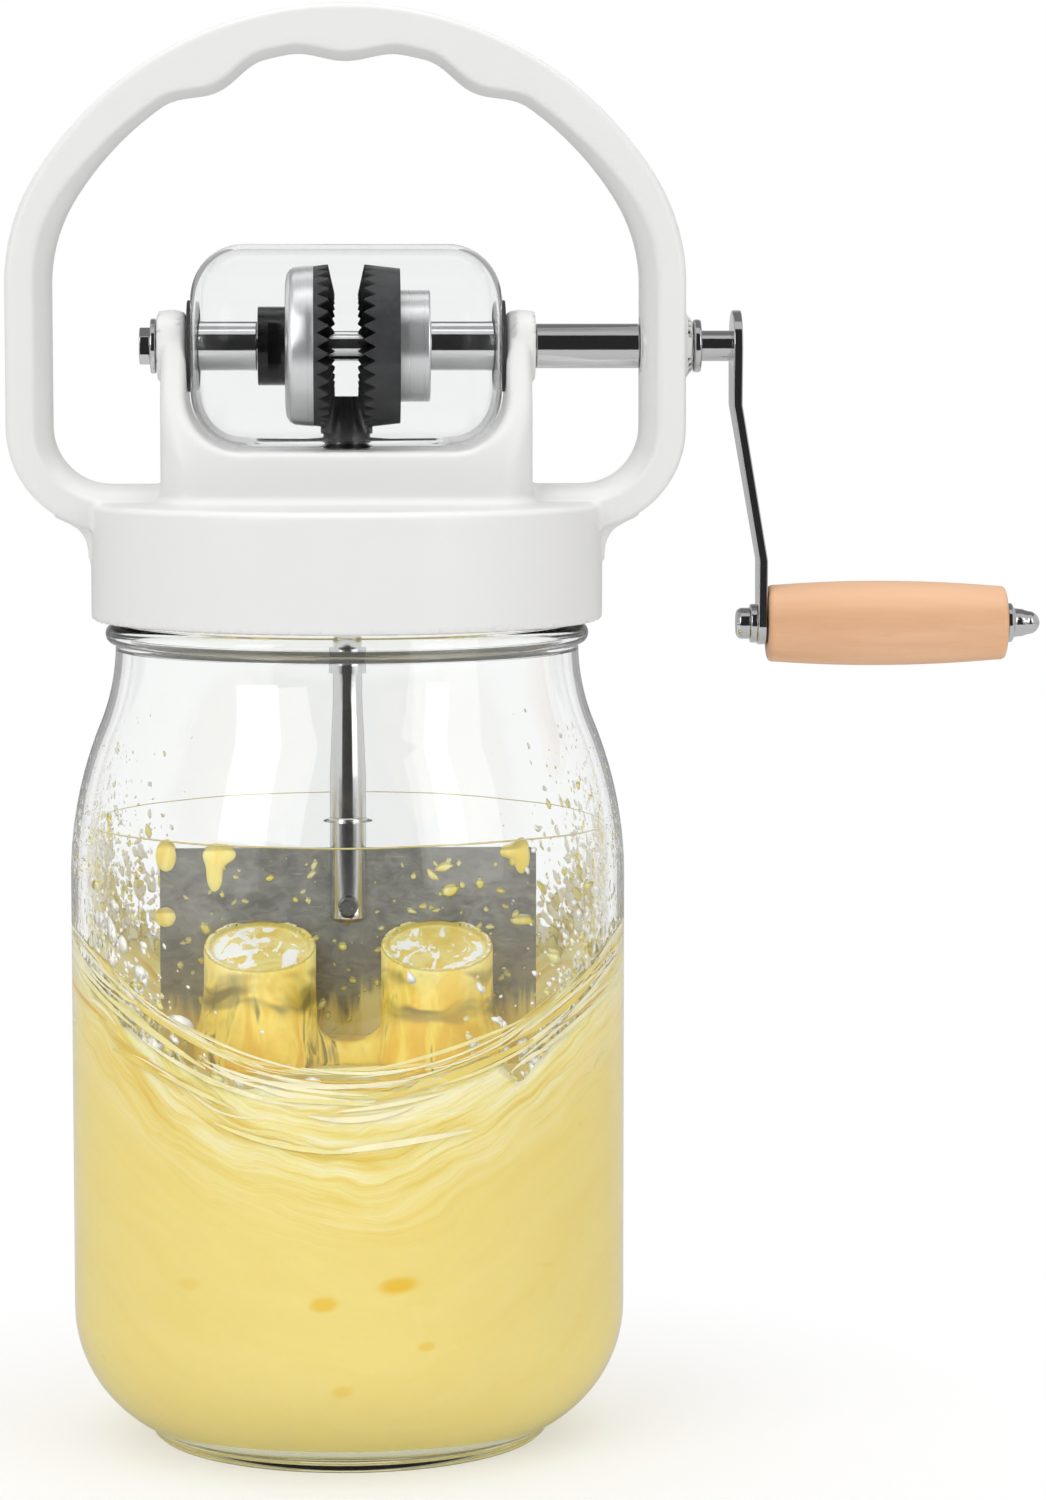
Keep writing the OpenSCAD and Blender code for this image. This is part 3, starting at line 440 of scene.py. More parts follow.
def churned_butter(pale, deep, amber, pits):
    """Soft butter: smooth with amber pits below, with strokes above that sag across the jar, and a painted
    glow.
    """
    f = Finish("churned_butter")
    place = f.place()
    x, y, z = f.parts_of(place)
    warp = f.noise(place, 26.0, 3.0, 0.55)
    across = (x * x - y * y) / (x * x + y * y + 0.0001)
    level = z - 0.015 * across + 0.018 * warp
    broad = f.noise(f.vector(x * 0.35, y * 0.35, level * 1.5), 75.0, 3.0, 0.55, 0.9)
    strokes = f.noise(f.vector(x * 0.28, y * 0.28, level * 3.2), 95.0, 5.0, 0.62, 0.7)
    fine = f.noise(f.vector(x * 0.4, y * 0.4, level * 9.0), 120.0, 4.0, 0.6, 0.4)
    stir = level.clamped(*STIRRED_Z)
    tone = 0.34 * broad + 0.42 * strokes + 0.24 * fine
    cream = toned(pale, **CREAM)
    stops = [(0.42, cream), (0.49, toned(pale)), (0.57, toned(deep)), (0.64, toned(amber))]
    swirl = f.node("ShaderNodeValToRGB", {"stops": stops}, {0: tone})
    crest = level.clamped(*CREST_Z) * broad.clamped(0.38, 0.6)
    swirl = f.blend(crest * 0.55, swirl, cream)
    calm_pale = [0.54 * a + 0.46 * b for a, b in zip(pale, deep)]
    calm_deep = [0.36 * a + 0.64 * b for a, b in zip(pale, deep)]
    calm = f.blend(broad.clamped(0.3, 0.75), toned(calm_pale), toned(calm_deep))
    dimple = f.noise(f.vector(x * 0.5, y * 0.5, z), 230.0, 2.0, 0.5, 0.5).clamped(0.7, 0.78)
    calm = f.blend(dimple * 0.5, calm, toned(deep))
    shade = f.blend(stir, calm, swirl)
    for pit_x, pit_z, wide, tall, strength in pits:
        off = x * 1000.0 - pit_x
        up = z * 1000.0 - pit_z - PIT_SLOPE * off
        far = ((off * (2 / wide)) ** 2.0 + (up * (2 / tall)) ** 2.0) ** 0.5
        near = (1.0 - far.clamped(0.4, 1.15)) * (1.0 - y.clamped(*PIT_Y))
        shade = f.blend(near * strength, shade, tinted(amber, PIT_SHARES))
    # Painted glow: the butter gives off light in its own colour, weakly everywhere, more where it is off the
    # glass above the bowl's edge and most low at the heel, which lightens its far side and its foot
    inside = 1.0 - ((x * x + y * y) ** 0.5).clamped(*INSIDE_GLOW_R)
    inside = inside * z.clamped(*BOWL_GLOW_Z)
    heel = 1.0 - z.clamped(*HEEL_GLOW_Z)
    return f.finished(
        base_color=shade,
        roughness=0.34 + 0.25 * strokes,
        specular_ior_level=0.4,
        emission_color=f.blend(0.2 + 0.6 * inside + 0.8 * heel, toned(BLACK), shade),
        emission_strength=0.2,
        normal=f.bump((strokes + 0.5 * fine) * (0.15 + 0.85 * stir), 0.3, 0.0015),
        **BUTTER_DEPTH,
    )


def loose_butter(name, pale, deep, amber, low, high):
    """Butter in drops and lobes: pale on top with painted glints, streaked with amber further down, with
    painted olive shade low down, under the tops and along their rims, and a painted glow.
    """
    f = Finish(name)
    place = f.place()
    x, y, z = f.parts_of(place)
    drift = f.noise(place, 60.0, 2.0, 0.5)
    streaks = f.noise(f.vector(x + 0.006 * drift, y, z * 0.22), 150.0, 4.0, 0.6, 0.8)
    fine = f.noise(place, 420.0, 3.0, 0.6)
    depth = 1.0 - z.clamped(low, high)
    shade = f.blend(streaks.clamped(0.38, 0.62), toned(pale), toned(deep))
    shade = f.blend(depth * 0.8, shade, tinted(deep, WET_SHARES))
    shade = f.blend(depth * streaks.clamped(0.46, 0.6), shade, toned(amber))
    # Painted shade: dark olive between the streaks low on the lobes
    shade = f.blend(depth * (1.0 - streaks.clamped(0.34, 0.43)) * 0.8, shade, toned(OLIVE_SHADE))
    sweep = f.noise(f.vector(x * 0.6, y * 0.6, z * 1.6 + 0.03 * drift), 120.0, 2.0, 0.5, 0.3)
    upward = f.upward()
    facing = upward.clamped(0.86, 0.93)
    # Painted shade: a darker line round the rounded rims of the tops
    edge = upward.clamped(0.2, 0.45) * (1.0 - upward.clamped(0.7, 0.86)) * (1.0 - depth)
    shade = f.blend(edge * 0.7, shade, toned(LOBE_RIM_SHADE))
    # Painted shade: olive in soft sweeps under the tops, on faces that do not face up
    under = z.clamped(*UNDER_TOP_SHADE_Z[:2]) * (1.0 - z.clamped(*UNDER_TOP_SHADE_Z[2:]))
    under = under * (1.0 - facing) * depth.clamped(0.0, 0.2)
    shade = f.blend(under * sweep.clamped(0.38, 0.7) * 0.85, shade, toned(OLIVE_SHADE))
    # Painted glints: white flecks on the tops that face up, which stand for mirrored light
    painted_glints = f.noise(f.vector(x, y * 0.6, z * 0.2), 210.0, 3.0, 0.5, 1.5).clamped(0.5, 0.54)
    shade = f.blend(facing * painted_glints * (1.0 - depth), shade, toned(GLINT_WHITE))
    return f.finished(
        base_color=shade,
        roughness=0.22 + 0.2 * fine,
        specular_ior_level=0.5,
        coat_weight=0.3 * facing,
        # Painted glow: the butter gives off a little light in its own colour
        emission_color=shade,
        emission_strength=0.1,
        normal=f.bump(fine + streaks * depth, 0.12, 0.0006),
        **BUTTER_DEPTH,
    )


def smeared_butter(name, colour):
    """Butter in thin smears, a little uneven in tone, with a painted glow."""
    f = Finish(name)
    place = f.place()
    tone = f.noise(place, 160.0, 3.0, 0.6)
    fine = f.noise(place, 900.0, 3.0, 0.6)
    shade = f.blend(tone.clamped(0.3, 0.7), toned(colour, 0.9), toned(colour))
    return f.finished(
        base_color=shade,
        roughness=0.28 + 0.2 * fine,
        # Painted glow: the smear gives off a little light in its own colour
        emission_color=shade,
        emission_strength=0.08,
        normal=f.bump(fine, 0.15, 2 * FINE_RELIEF),
    )


# Mesh helpers, in millimetres

ON_AXIS = 1e-6


def arc(centre, radius, start, stop, steps=12):
    """Points on an arc from one angle to another, in degrees."""
    turns = [math.radians(start + (stop - start) * i / steps) for i in range(steps + 1)]
    return [(centre[0] + radius * math.cos(a), centre[1] + radius * math.sin(a)) for a in turns]


def soften(points, radius, steps=3):
    """A closed outline with its corners rounded; points on the axis stay."""
    made = []
    for i, p in enumerate(points):
        if p[0] < ON_AXIS:
            made.append(p)
            continue
        ends = []
        for q in (points[i - 1], points[(i + 1) % len(points)]):
            length = math.dist(p, q)
            share = min(radius, 0.45 * length) / length
            ends.append((p[0] + share * (q[0] - p[0]), p[1] + share * (q[1] - p[1])))
        a, b = ends
        for k in range(steps + 1):
            t = k / steps
            made.append(tuple((1 - t) ** 2 * a[j] + 2 * t * (1 - t) * p[j] + t * t * b[j] for j in (0, 1)))
    return made


def lathe(outline, steps=96, place=None):
    """Turns a closed outline of (radius, height) about the Z axis; place moves the points after that."""
    verts, rings = [], []
    for radius, height in outline:
        if radius < ON_AXIS:
            rings.append([len(verts)] * steps)
            verts.append((0.0, 0.0, height))
            continue
        rings.append([len(verts) + k for k in range(steps)])
        for k in range(steps):
            a = 2 * math.pi * k / steps
            verts.append((radius * math.cos(a), radius * math.sin(a), height))
    faces = []
    for i, ring in enumerate(rings):
        other = rings[(i + 1) % len(rings)]
        for k in range(steps):
            corners = [ring[k], ring[(k + 1) % steps], other[(k + 1) % steps], other[k]]
            kept = [c for n, c in enumerate(corners) if c != corners[n - 1]]
            if len(set(kept)) > 2:
                faces.append(kept)
    return [place(v) if place else v for v in verts], faces


def laid_at(height):
    """Lays a shape that stands on Z along X, at a height."""
    return lambda v: (v[2], -v[1], height + v[0])


def mesh_of(name, verts, faces):
    mesh = bpy.data.meshes.new(name)
    mesh.from_pydata([tuple(c * MM for c in v) for v in verts], [], faces)
    return mesh


def add_object(name, data):
    obj = bpy.data.objects.new(name, data)
    bpy.context.scene.collection.objects.link(obj)
    return obj


def make_piece(name, verts, faces, material, body, stands_for=(), normals=None):
    """A mesh in the part's frame that rides on a body and stands for some nodes."""
    mesh = mesh_of(name, verts, faces)
    mesh.validate()
    work = bmesh.new()
    work.from_mesh(mesh)
    bmesh.ops.recalc_face_normals(work, faces=work.faces)
    work.to_mesh(mesh)
    work.free()
    mesh.polygons.foreach_set("use_smooth", [True] * len(mesh.polygons))
    if normals is not None:
        mesh.normals_split_custom_set_from_vertices([tuple(n) for n in normals])
    obj = add_object(name, mesh)
    mesh.materials.append(material)
    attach(obj, body)
    if stands_for:
        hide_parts(*stands_for)
    return obj


def weigh_normals(obj):
    """Keeps flat faces flat in shading beside small rounded edges."""
    weigh = obj.modifiers.new("flat_faces", "WEIGHTED_NORMAL")
    weigh.weight = 80
    weigh.keep_sharp = True
    return obj


def softened_copy(node, width, material, steps=2, angle=32):
    """A copy of a node's solid with its edges broken, which stands for the node."""
    mesh = NODES[node].data.copy()
    work = bmesh.new()
    work.from_mesh(mesh)
    bmesh.ops.remove_doubles(work, verts=work.verts, dist=1e-6)
    bmesh.ops.dissolve_limit(
        work, angle_limit=math.radians(1), use_dissolve_boundaries=False, verts=work.verts, edges=work.edges
    )
    work.to_mesh(mesh)
    work.free()
    mesh.materials.clear()
    mesh.materials.append(material)
    mesh.polygons.foreach_set("use_smooth", [True] * len(mesh.polygons))
    mesh.set_sharp_from_angle(angle=math.radians(angle))
    obj = add_object(node + "_finished", mesh)
    bevel = obj.modifiers.new("broken_edges", "BEVEL")
    bevel.width = width * MM
    bevel.segments = steps
    bevel.limit_method = "ANGLE"
    bevel.angle_limit = math.radians(angle)
    bevel.use_clamp_overlap = True
    weigh_normals(obj)
    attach(obj, NODES[node]["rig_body"])
    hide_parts(node)
    return obj


def turned_ring(node, inner, edge, material, axis="X", steps=72):
    """A finely turned tube with broken edges in the place of a node."""
    low, high = (1000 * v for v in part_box(node))
    outer = (high.y - low.y) / 2
    ends = (low.x, high.x) if axis == "X" else (low.z, high.z)
    outline = soften([(inner, ends[0]), (outer, ends[0]), (outer, ends[1]), (inner, ends[1])], edge)
    verts, faces = lathe(outline, steps, laid_at(SHAFT_Z) if axis == "X" else None)
    piece = make_piece(node + "_turned", verts, faces, material, NODES[node]["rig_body"], [node])
    return weigh_normals(piece)


# Smooth fields, in millimetres

# How often a point is drawn to the surface, and how far from its cell's middle it may go
DRAWS = 8
DRAW_REACH = 0.95


def corner(u, v):
    """Distance to the corner that two fields make."""
    return np.hypot(np.maximum(u, 0), np.maximum(v, 0)) + np.minimum(np.maximum(u, v), 0)


def round_and(a, b, radius):
    """What two fields share, with its edge rounded."""
    return corner(a + radius, b + radius) - radius


def round_or(a, b, radius):
    """Two fields joined with a fillet."""
    return -round_and(-a, -b, radius)


def smooth_step(v, low, high):
    t = np.clip((v - low) / (high - low), 0, 1)
    return t * t * (3 - 2 * t)


def slopes(field, points, reach=0.02):
    """Direction in which a field grows, at each point."""
    grown = []
    for axis in range(3):
        move = np.zeros(3)
        move[axis] = reach
        ahead, behind = points + move, points - move
        grown.append((field(*ahead.T) - field(*behind.T)) / (2 * reach))
    return np.stack(grown, 1)


def skin(field, low, high, step):
    """Quads on the zero surface of a field, with the normals at their corners."""
    axes = [np.arange(a, b + step, step) for a, b in zip(low, high)]
    x, y, z = np.meshgrid(*axes, indexing="ij", sparse=True)
    inside = (field(x, y, z) + np.zeros([len(a) for a in axes])) < 0
    count = np.zeros([n - 1 for n in inside.shape], np.int8)
    for i, j, k in np.ndindex(2, 2, 2):
        part = inside[i:, j:, k:]
        count += part[: count.shape[0], : count.shape[1], : count.shape[2]]
    mixed = (count > 0) & (count < 8)
    index = np.full(mixed.shape, -1)
    index[mixed] = np.arange(mixed.sum())
    middle = np.array(low) + (np.argwhere(mixed) + 0.5) * step
    points = middle.copy()
    for _ in range(DRAWS):
        grown = slopes(field, points)
        size = np.maximum((grown**2).sum(1), 0.05)
        points = points - (field(*points.T) / size)[:, None] * grown
        points = middle + np.clip(points - middle, -DRAW_REACH * step, DRAW_REACH * step)
    faces = []
    for axis in range(3):
        first = np.take(inside, range(inside.shape[axis] - 1), axis)
        second = np.take(inside, range(1, inside.shape[axis]), axis)
        others = [n for n in range(3) if n != axis]
        places = np.argwhere(first != second)
        keep = np.all((places[:, others] > 0) & (places[:, others] < np.array(mixed.shape)[others]), 1)
        places = places[keep]
        corners = []
        for back in ((1, 1), (0, 1), (0, 0), (1, 0)):
            cell = places.copy()
            cell[:, others[0]] -= back[0]
            cell[:, others[1]] -= back[1]
            corners.append(index[tuple(cell.T)])
        faces.append(np.stack(corners, 1))
    grown = slopes(field, points)
    normals = grown / np.maximum(np.linalg.norm(grown, axis=1, keepdims=True), 1e-9)
    return points.tolist(), np.concatenate(faces).tolist(), normals.tolist()


# Sizes and colours that a user may change


def colour_prop(name, description, default):
    return bpy.props.FloatVectorProperty(
        name=name, description=description, subtype="COLOR", default=default, min=0, max=1
    )


def length_prop(name, description, default, least=0.0):
    return bpy.props.FloatProperty(
        name=name, description=description, default=default, min=least, unit="LENGTH"
    )


def count_prop(name, description, default):
    return bpy.props.IntProperty(name=name, description=description, default=default, min=0)


class ChurnColours(bpy.types.PropertyGroup):
    """Colours of the churn's finishes."""

    plastic: colour_prop("Plastic", "White of the lid and handle", (0.74, 0.738, 0.73))
    glass: colour_prop("Glass", "Tint of the jar", (0.975, 0.983, 0.978))
    glass_foot: colour_prop("Glass foot", "Tint of the jar's thick foot", (0.85, 0.87, 0.72))
    cover: colour_prop("Cover", "Tint of the gear cover", (0.94, 0.945, 0.945))
    chrome: colour_prop("Chrome", "Plating of shaft and crank", (0.72, 0.72, 0.73))
    hub: colour_prop("Hubs", "Turned hubs of the gears", (0.80, 0.80, 0.81))
    nylon: colour_prop("Gears", "Black nylon of the gears", (0.010, 0.010, 0.0105))
    steel: colour_prop("Paddle", "Steel of the dasher", (0.42, 0.42, 0.40))
    rubber: colour_prop("Rubber", "Rubber of the rings and the spindle's seal", (0.035, 0.035, 0.037))
    silicone: colour_prop("Gasket", "Silicone of the lid's gasket", (0.72, 0.72, 0.70))
    bush: colour_prop("Bearings", "Nylon of the plain bearings", (0.62, 0.61, 0.58))
    wood_pale: colour_prop("Pale wood", "Pale grain of the grip", (0.75, 0.45, 0.265))
    wood_dark: colour_prop("Dark wood", "Dark grain of the grip", (0.60, 0.32, 0.17))
    butter_pale: colour_prop("Pale butter", "Pale strokes", (0.86, 0.775, 0.35))
    butter_deep: colour_prop("Deep butter", "Deeper strokes", (0.79, 0.625, 0.15))
    butter_amber: colour_prop("Amber butter", "Pits and wet folds", (0.76, 0.50, 0.06))
    cream_drops: colour_prop("Cream drops", "Pale drops on the glass", (0.96, 0.945, 0.86))
    whey: colour_prop("Whey", "Tint of the whey round the rod", (1.0, 0.99, 0.95))
    whey_line: colour_prop("Whey line", "Line that the whey has left on the glass", (0.70, 0.61, 0.27))


class ChurnSizes(bpy.types.PropertyGroup):
    """Sizes of what is added to the frame, in metres."""

    skin_step: length_prop("Mesh step", "Size of the quads of the white moulding", 0.001, 0.0006)
    ridge: length_prop("Finger ridge", "Height of the ridges under the handle", 0.0027)
    foot_fillet: length_prop("Foot fillet", "Fillet where the yoke stands on the lid", 0.0025, 0.0005)
    butter_rest: length_prop("Butter level", "Height of the butter under the paddle", 0.068, 0.03)
    butter_climb: length_prop("Butter climb", "How far the butter climbs the sides of the jar", 0.0235)
    splash_count: count_prop("Splashes", "Drops on the inside of the glass", 6000)
    stroke_count: count_prop("Strokes", "Strokes of butter on the inside of the glass", 240)


def colours():
    return bpy.context.scene.churn_colours


def sizes():
    return bpy.context.scene.churn_sizes


# Jar

WALL = 3.0
FLOOR = 6.5
HEEL_R = 26.0
IN_HEEL_R = 22.0
NECK_R = 45.8
SHOULDER_Z = 112.0
BEAD_Z = 160.5
BEAD_R = 2.0
LIP_R = 1.2
NECK_TOP = BEAD_Z - BEAD_R
SHOULDER_TURN = 2 * math.degrees(math.atan((JAR_R - NECK_R) / (NECK_TOP - SHOULDER_Z)))
SHOULDER_SUM = (NECK_TOP - SHOULDER_Z) / math.sin(math.radians(SHOULDER_TURN))
BULGE_R = 0.66 * SHOULDER_SUM
HOLLOW_R = SHOULDER_SUM - BULGE_R
FINISH_R = NECK_R - 0.3
# Rows of points on the finish, which carry the thread
FINISH_STEP = 0.4
FINISH_ROWS = 44
# Height at which the heel leaves the foot, and the foot ring's points from there, as (outwards, up)
FOOT_TOP = 2.4
FOOT_RING = (
    (-9.2, 1.0), (-7.4, 0.25), (-6.6, 0.03), (-5.2, 0.0),
    (-2.6, 0.0), (-1.2, 0.12), (-0.5, 0.75), (-0.25, 1.6),
)


def jar_outline():
    """Closed outline of the glass, from the middle of the foot up the outside and down the inside."""
    foot_r = JAR_R - HEEL_R + math.sqrt(HEEL_R**2 - (HEEL_R - FOOT_TOP) ** 2)
    heel = math.degrees(math.asin(FOOT_TOP / HEEL_R - 1))
    points = [(0, 2.0), (14, 1.95), (26, 1.6)]
    points += [(foot_r + off, z) for off, z in FOOT_RING]
    points += arc((JAR_R - HEEL_R, HEEL_R), HEEL_R, heel, 0, 22)
    points += arc((JAR_R - BULGE_R, SHOULDER_Z), BULGE_R, 0, SHOULDER_TURN, 16)
    points += arc((NECK_R + HOLLOW_R, NECK_TOP), HOLLOW_R, 180 + SHOULDER_TURN, 180, 12)[1:]
    points += arc((NECK_R, BEAD_Z), BEAD_R, -80, 80, 12)
    points += [(FINISH_R, BEAD_Z + BEAD_R + FINISH_STEP * i) for i in range(1, FINISH_ROWS + 1)]
    points += arc((FINISH_R - LIP_R, RIM_Z - LIP_R), LIP_R, 0, 90, 6)
    points += arc((NECK_R - WALL + LIP_R, RIM_Z - LIP_R), LIP_R, 90, 180, 6)
    points += [(NECK_R - WALL, RIM_Z - 8), (NECK_R - WALL, NECK_TOP + 6)]
    points += arc((NECK_R + HOLLOW_R, NECK_TOP), HOLLOW_R + WALL, 180, 180 + SHOULDER_TURN, 12)
    points += arc((JAR_R - BULGE_R, SHOULDER_Z), BULGE_R - WALL, SHOULDER_TURN, 0, 16)[1:]
    points += arc((JAR_R - WALL - IN_HEEL_R, FLOOR + IN_HEEL_R), IN_HEEL_R, 0, -90, 20)
    points += [(18, FLOOR + 0.1), (8, FLOOR + 0.25), (0, FLOOR + 0.3)]
    return points


def inner_radius(z):
    """Radius of the inside of the jar at a height."""
    low = FLOOR + IN_HEEL_R
    if z < low:
        return JAR_R - WALL - IN_HEEL_R + math.sqrt(max(IN_HEEL_R**2 - (low - z) ** 2, 0))
    if z < SHOULDER_Z:
        return JAR_R - WALL
    rise = min(z - SHOULDER_Z, BULGE_R * math.sin(math.radians(SHOULDER_TURN)))
    return JAR_R - BULGE_R + math.sqrt((BULGE_R - WALL) ** 2 - rise**2)


class BuildJar(bpy.types.Operator):
    """Pressed glass jar with a foot ring, a bead and a screw thread under the lid"""

    bl_idname = "churn.build_jar"
    bl_label = "Glass Jar"

    thread_rise = 1.3
    thread_half = 1.4
    thread_low = BEAD_Z + 3
    thread_top = RIM_Z - 2
    thread_fade = 2.0
    refraction = 1.47
    ripple = 42.0

    def threaded(self, v):
        """Moves a point of the finish outwards where the thread is."""
        x, y, z = v
        r = math.hypot(x, y)
        if z < self.thread_low or z > self.thread_top or r < NECK_R - LIP_R:
            return v
        turn = math.atan2(y, x) / (2 * math.pi)
        off = ((z - self.thread_low - 2) / THREAD_PITCH - turn) % 1.0 - 0.5
        share = max(0.0, 1 - abs(off) * THREAD_PITCH / self.thread_half)
        ends = min(1.0, (z - self.thread_low) / self.thread_fade, (self.thread_top - z) / self.thread_fade)
        grown = 1 + self.thread_rise * ends * share * share * (3 - 2 * share) / r
        return (x * grown, y * grown, z)

    def execute(self, context):
        verts, faces = lathe(jar_outline(), 144, self.threaded)
        c = colours()
        glass = clear_glass("jar_glass", c.glass, self.refraction, self.ripple, c.glass_foot)
        make_piece("glass_jar_blown", verts, faces, glass, "jar", ["glass_jar"])
        return {"FINISHED"}


# White mouldings

# The lid's cavity, the boss under it and the foot of the yoke, whose corners are rounded
CAVITY_R = 48.3
CAVITY_TOP = 183.5
BOSS_R = 9.0
BOSS_LOW = 174.0
BOSS_TOP = 185.0
YOKE_X = 28.3
YOKE_Y = 12.0
YOKE_CORNER = 8.0
# The hollow in the yoke in which the cover lies
CRADLE_X = 20.5
CRADLE_R = 10.8
CRADLE_Z = 196.7
# The ears round the shaft, the pads outside them and the bores
EAR_R = 6.9
EAR_TURN = math.radians(30.56)
PAD_X = (33.5, 37.2)
SHAFT_BORE = 5.0
BORE_FROM = -45.0
SEAL_BORE = 7.0
SEAL_TOP = 177.0
SPINDLE_TOP = 200.0
# The handle's band: thickness, depth, half width, and the arc and corners of its D
BAND_T = 8.6
BAND_D = 22.0
HALF_W = 66.5
CORNER_R = 40.0
ARC_Z = 212.0
ARC_R = 71.5
LOW_Z = 181.2
LOW_CORNER_R = 20.0
UPPER_Z = 215
# Finger ridges as (angle, share of the height), half their width in degrees, and where they start
RIDGES = ((0.0, 0.82), (-24.6, 1.06), (24.6, 1.06))
RIDGE_HALF = 10.2
RIDGES_FROM = 240
# The bevel inside the band, which gets flatter between two heights
BEVEL_IN = 5.0
BEVEL_Z = (236, 264)
# Webs between the band and the lid, hollowed by a round
WEB_X = 57.0
WEB_Z = (175.5, 185.0)
WEB_ROUND_X = 58.7
WEB_ROUND_R = 8.2
WEB_HALF = 6.0
# The cone outside the handle, round the shaft
CONE_FROM = 60.0
CONE_OUT = 1.7


def handle_depth(x, z):
    """Depth below the outside of the handle's D, seen from the front."""
    ax = np.abs(x)
    reach = ARC_R - CORNER_R
    centre = (HALF_W - CORNER_R, ARC_Z + math.sqrt(reach**2 - (HALF_W - CORNER_R) ** 2))
    lean = math.atan2(centre[1] - ARC_Z, centre[0])
    turn = np.arctan2(z - centre[1], np.maximum(ax - centre[0], ON_AXIS))
    in_corner = (ax > centre[0]) & (turn > 0) & (turn < lean)
    plain = np.maximum(ax - centre[0], np.hypot(x, z - ARC_Z) - reach)
    top = np.where(in_corner, np.hypot(ax - centre[0], z - centre[1]), plain) - CORNER_R
    low = round_and(ax - HALF_W, LOW_Z - z, LOW_CORNER_R)
    return -np.where(z > UPPER_Z, top, low)


def lid_block(r, z):
    """The lid as if it were solid."""
    return round_and(round_and(r - LID_R, z - LID_TOP, 2.0), LID_LOW - z, 0.9)


def lid_field(x, y, z):
    """The lid: a cap with a thread inside, and a boss for the spindle."""
    r = np.hypot(x, y)
    turn = np.arctan2(y, x) / (2 * math.pi)
    off = np.abs(((z - LID_LOW - 2) / THREAD_PITCH - turn) % 1.0 - 0.5) * THREAD_PITCH
    ends = np.clip(np.minimum((z - LID_LOW - 1.5) / 2, (LID_LOW + 11 - z) / 2), 0, 1)
    thread = 1.1 * ends * smooth_step(1.5 - off, 0, 1.5)
    cavity = round_and(r - CAVITY_R + thread, z - CAVITY_TOP, 1.2)
    lid = round_and(lid_block(r, z), -cavity, 0.6)
    boss = np.maximum(round_and(r - BOSS_R, BOSS_LOW - z, 0.8), z - BOSS_TOP)
    return round_or(lid, boss, 1.2)


def yoke_field(x, y, z):
    """The yoke: a foot with a cradle for the cover, and two ears with pads round the shaft."""
    ax, ay, up = np.abs(x), np.abs(y), z - SHAFT_Z
    ring = np.hypot(y, up)
    plan = corner(ax - YOKE_X, ay - YOKE_Y) - YOKE_CORNER
    slope = ay * math.cos(EAR_TURN) + up * math.sin(EAR_TURN) - EAR_R
    side = np.where(np.arctan2(up, ay) > EAR_TURN, ring - EAR_R, slope)
    cradle = corner(ax - CRADLE_X, CRADLE_Z + CRADLE_R - z) - CRADLE_R
    yoke = round_and(round_and(plan, side, 2.0), -cradle, 1.5)
    yoke = np.maximum(yoke, LID_TOP - 1.5 - z)
    pad = np.maximum(round_and(ring - EAR_R, ax - PAD_X[1], 0.5), PAD_X[0] - ax)
    return round_or(yoke, pad, 0.8)


def handle_field(x, y, z, ridge):
    """The handle: a D-shaped band with finger ridges, webs to the lid and a cone round the shaft."""
    ax, ay = np.abs(x), np.abs(y)
    deep = handle_depth(x, z)
    around = np.degrees(np.arctan2(x, z - ARC_Z))
    bumps = 0.0
    for middle, share in RIDGES:
        bumps = bumps + share * np.cos(np.clip((around - middle) / RIDGE_HALF, -1, 1) * math.pi / 2) ** 2
    bumps = ridge * bumps * (z > RIDGES_FROM)
    inner = deep - BAND_T - bumps
    lean = 3.2 - 1.9 * smooth_step(z, *BEVEL_Z)
    bevel = (inner * BEVEL_IN + (ay - BAND_D / 2 + BEVEL_IN) * lean) / np.hypot(BEVEL_IN, lean)
    rim = round_and(-deep, ay - BAND_D / 2, 1.6)
    band = round_and(rim, round_and(inner, bevel, 1.6), 0.8)
    block = np.maximum(np.maximum(ax - WEB_X, z - WEB_Z[1]), WEB_Z[0] - z)
    hollow = np.hypot(ax - WEB_ROUND_X, z - WEB_Z[0]) - WEB_ROUND_R
    web = round_and(np.maximum(block, -hollow), ay - WEB_HALF, 1.0)
    band = round_or(band, web, 1.5)
    band = np.maximum(band, -(lid_block(np.hypot(x, y), z) + 0.4))
    side = np.hypot(y, z - SHAFT_Z) - EAR_R + np.maximum(x - HALF_W, 0)
    cone = np.maximum(round_and(side, x - HALF_W - CONE_OUT, 0.3), CONE_FROM - x)
    return round_or(band, cone, 0.8)


def white_field(ridge, fillet):
    """Distance to the lid, the yoke and the handle, moulded as one and bored."""

    def field(x, y, z):
        white = round_or(lid_field(x, y, z), yoke_field(x, y, z), fillet)
        white = round_or(white, handle_field(x, y, z, ridge), 1.3)
        bore = SHAFT_BORE - np.hypot(y, z - SHAFT_Z)
        white = np.where(x > BORE_FROM, round_and(white, bore, 0.25), white)
        r = np.hypot(x, y)
        hole = np.minimum(r - SHAFT_BORE, np.maximum(r - SEAL_BORE, z - SEAL_TOP))
        return np.maximum(white, -np.maximum(hole, z - SPINDLE_TOP))

    return field


class BuildMoulding(bpy.types.Operator):
    """Lid, gear yoke and carrying handle in one white moulding with fillets"""

    bl_idname = "churn.build_moulding"
    bl_label = "White Moulding"

    low = (-70.3, -53.3, 160.2)
    high = (71.0, 53.3, 286.0)
    stands_for = ["screw_lid", "carry_handle", "gear_yoke"]

    def execute(self, context):
        made = sizes()
        field = white_field(1000 * made.ridge, 1000 * made.foot_fillet)
        points, faces, normals = skin(field, self.low, self.high, 1000 * made.skin_step)
        white = white_plastic(colours().plastic)
        make_piece("white_moulding", points, faces, white, "lid", self.stands_for, normals)
        return {"FINISHED"}


# Clear cover


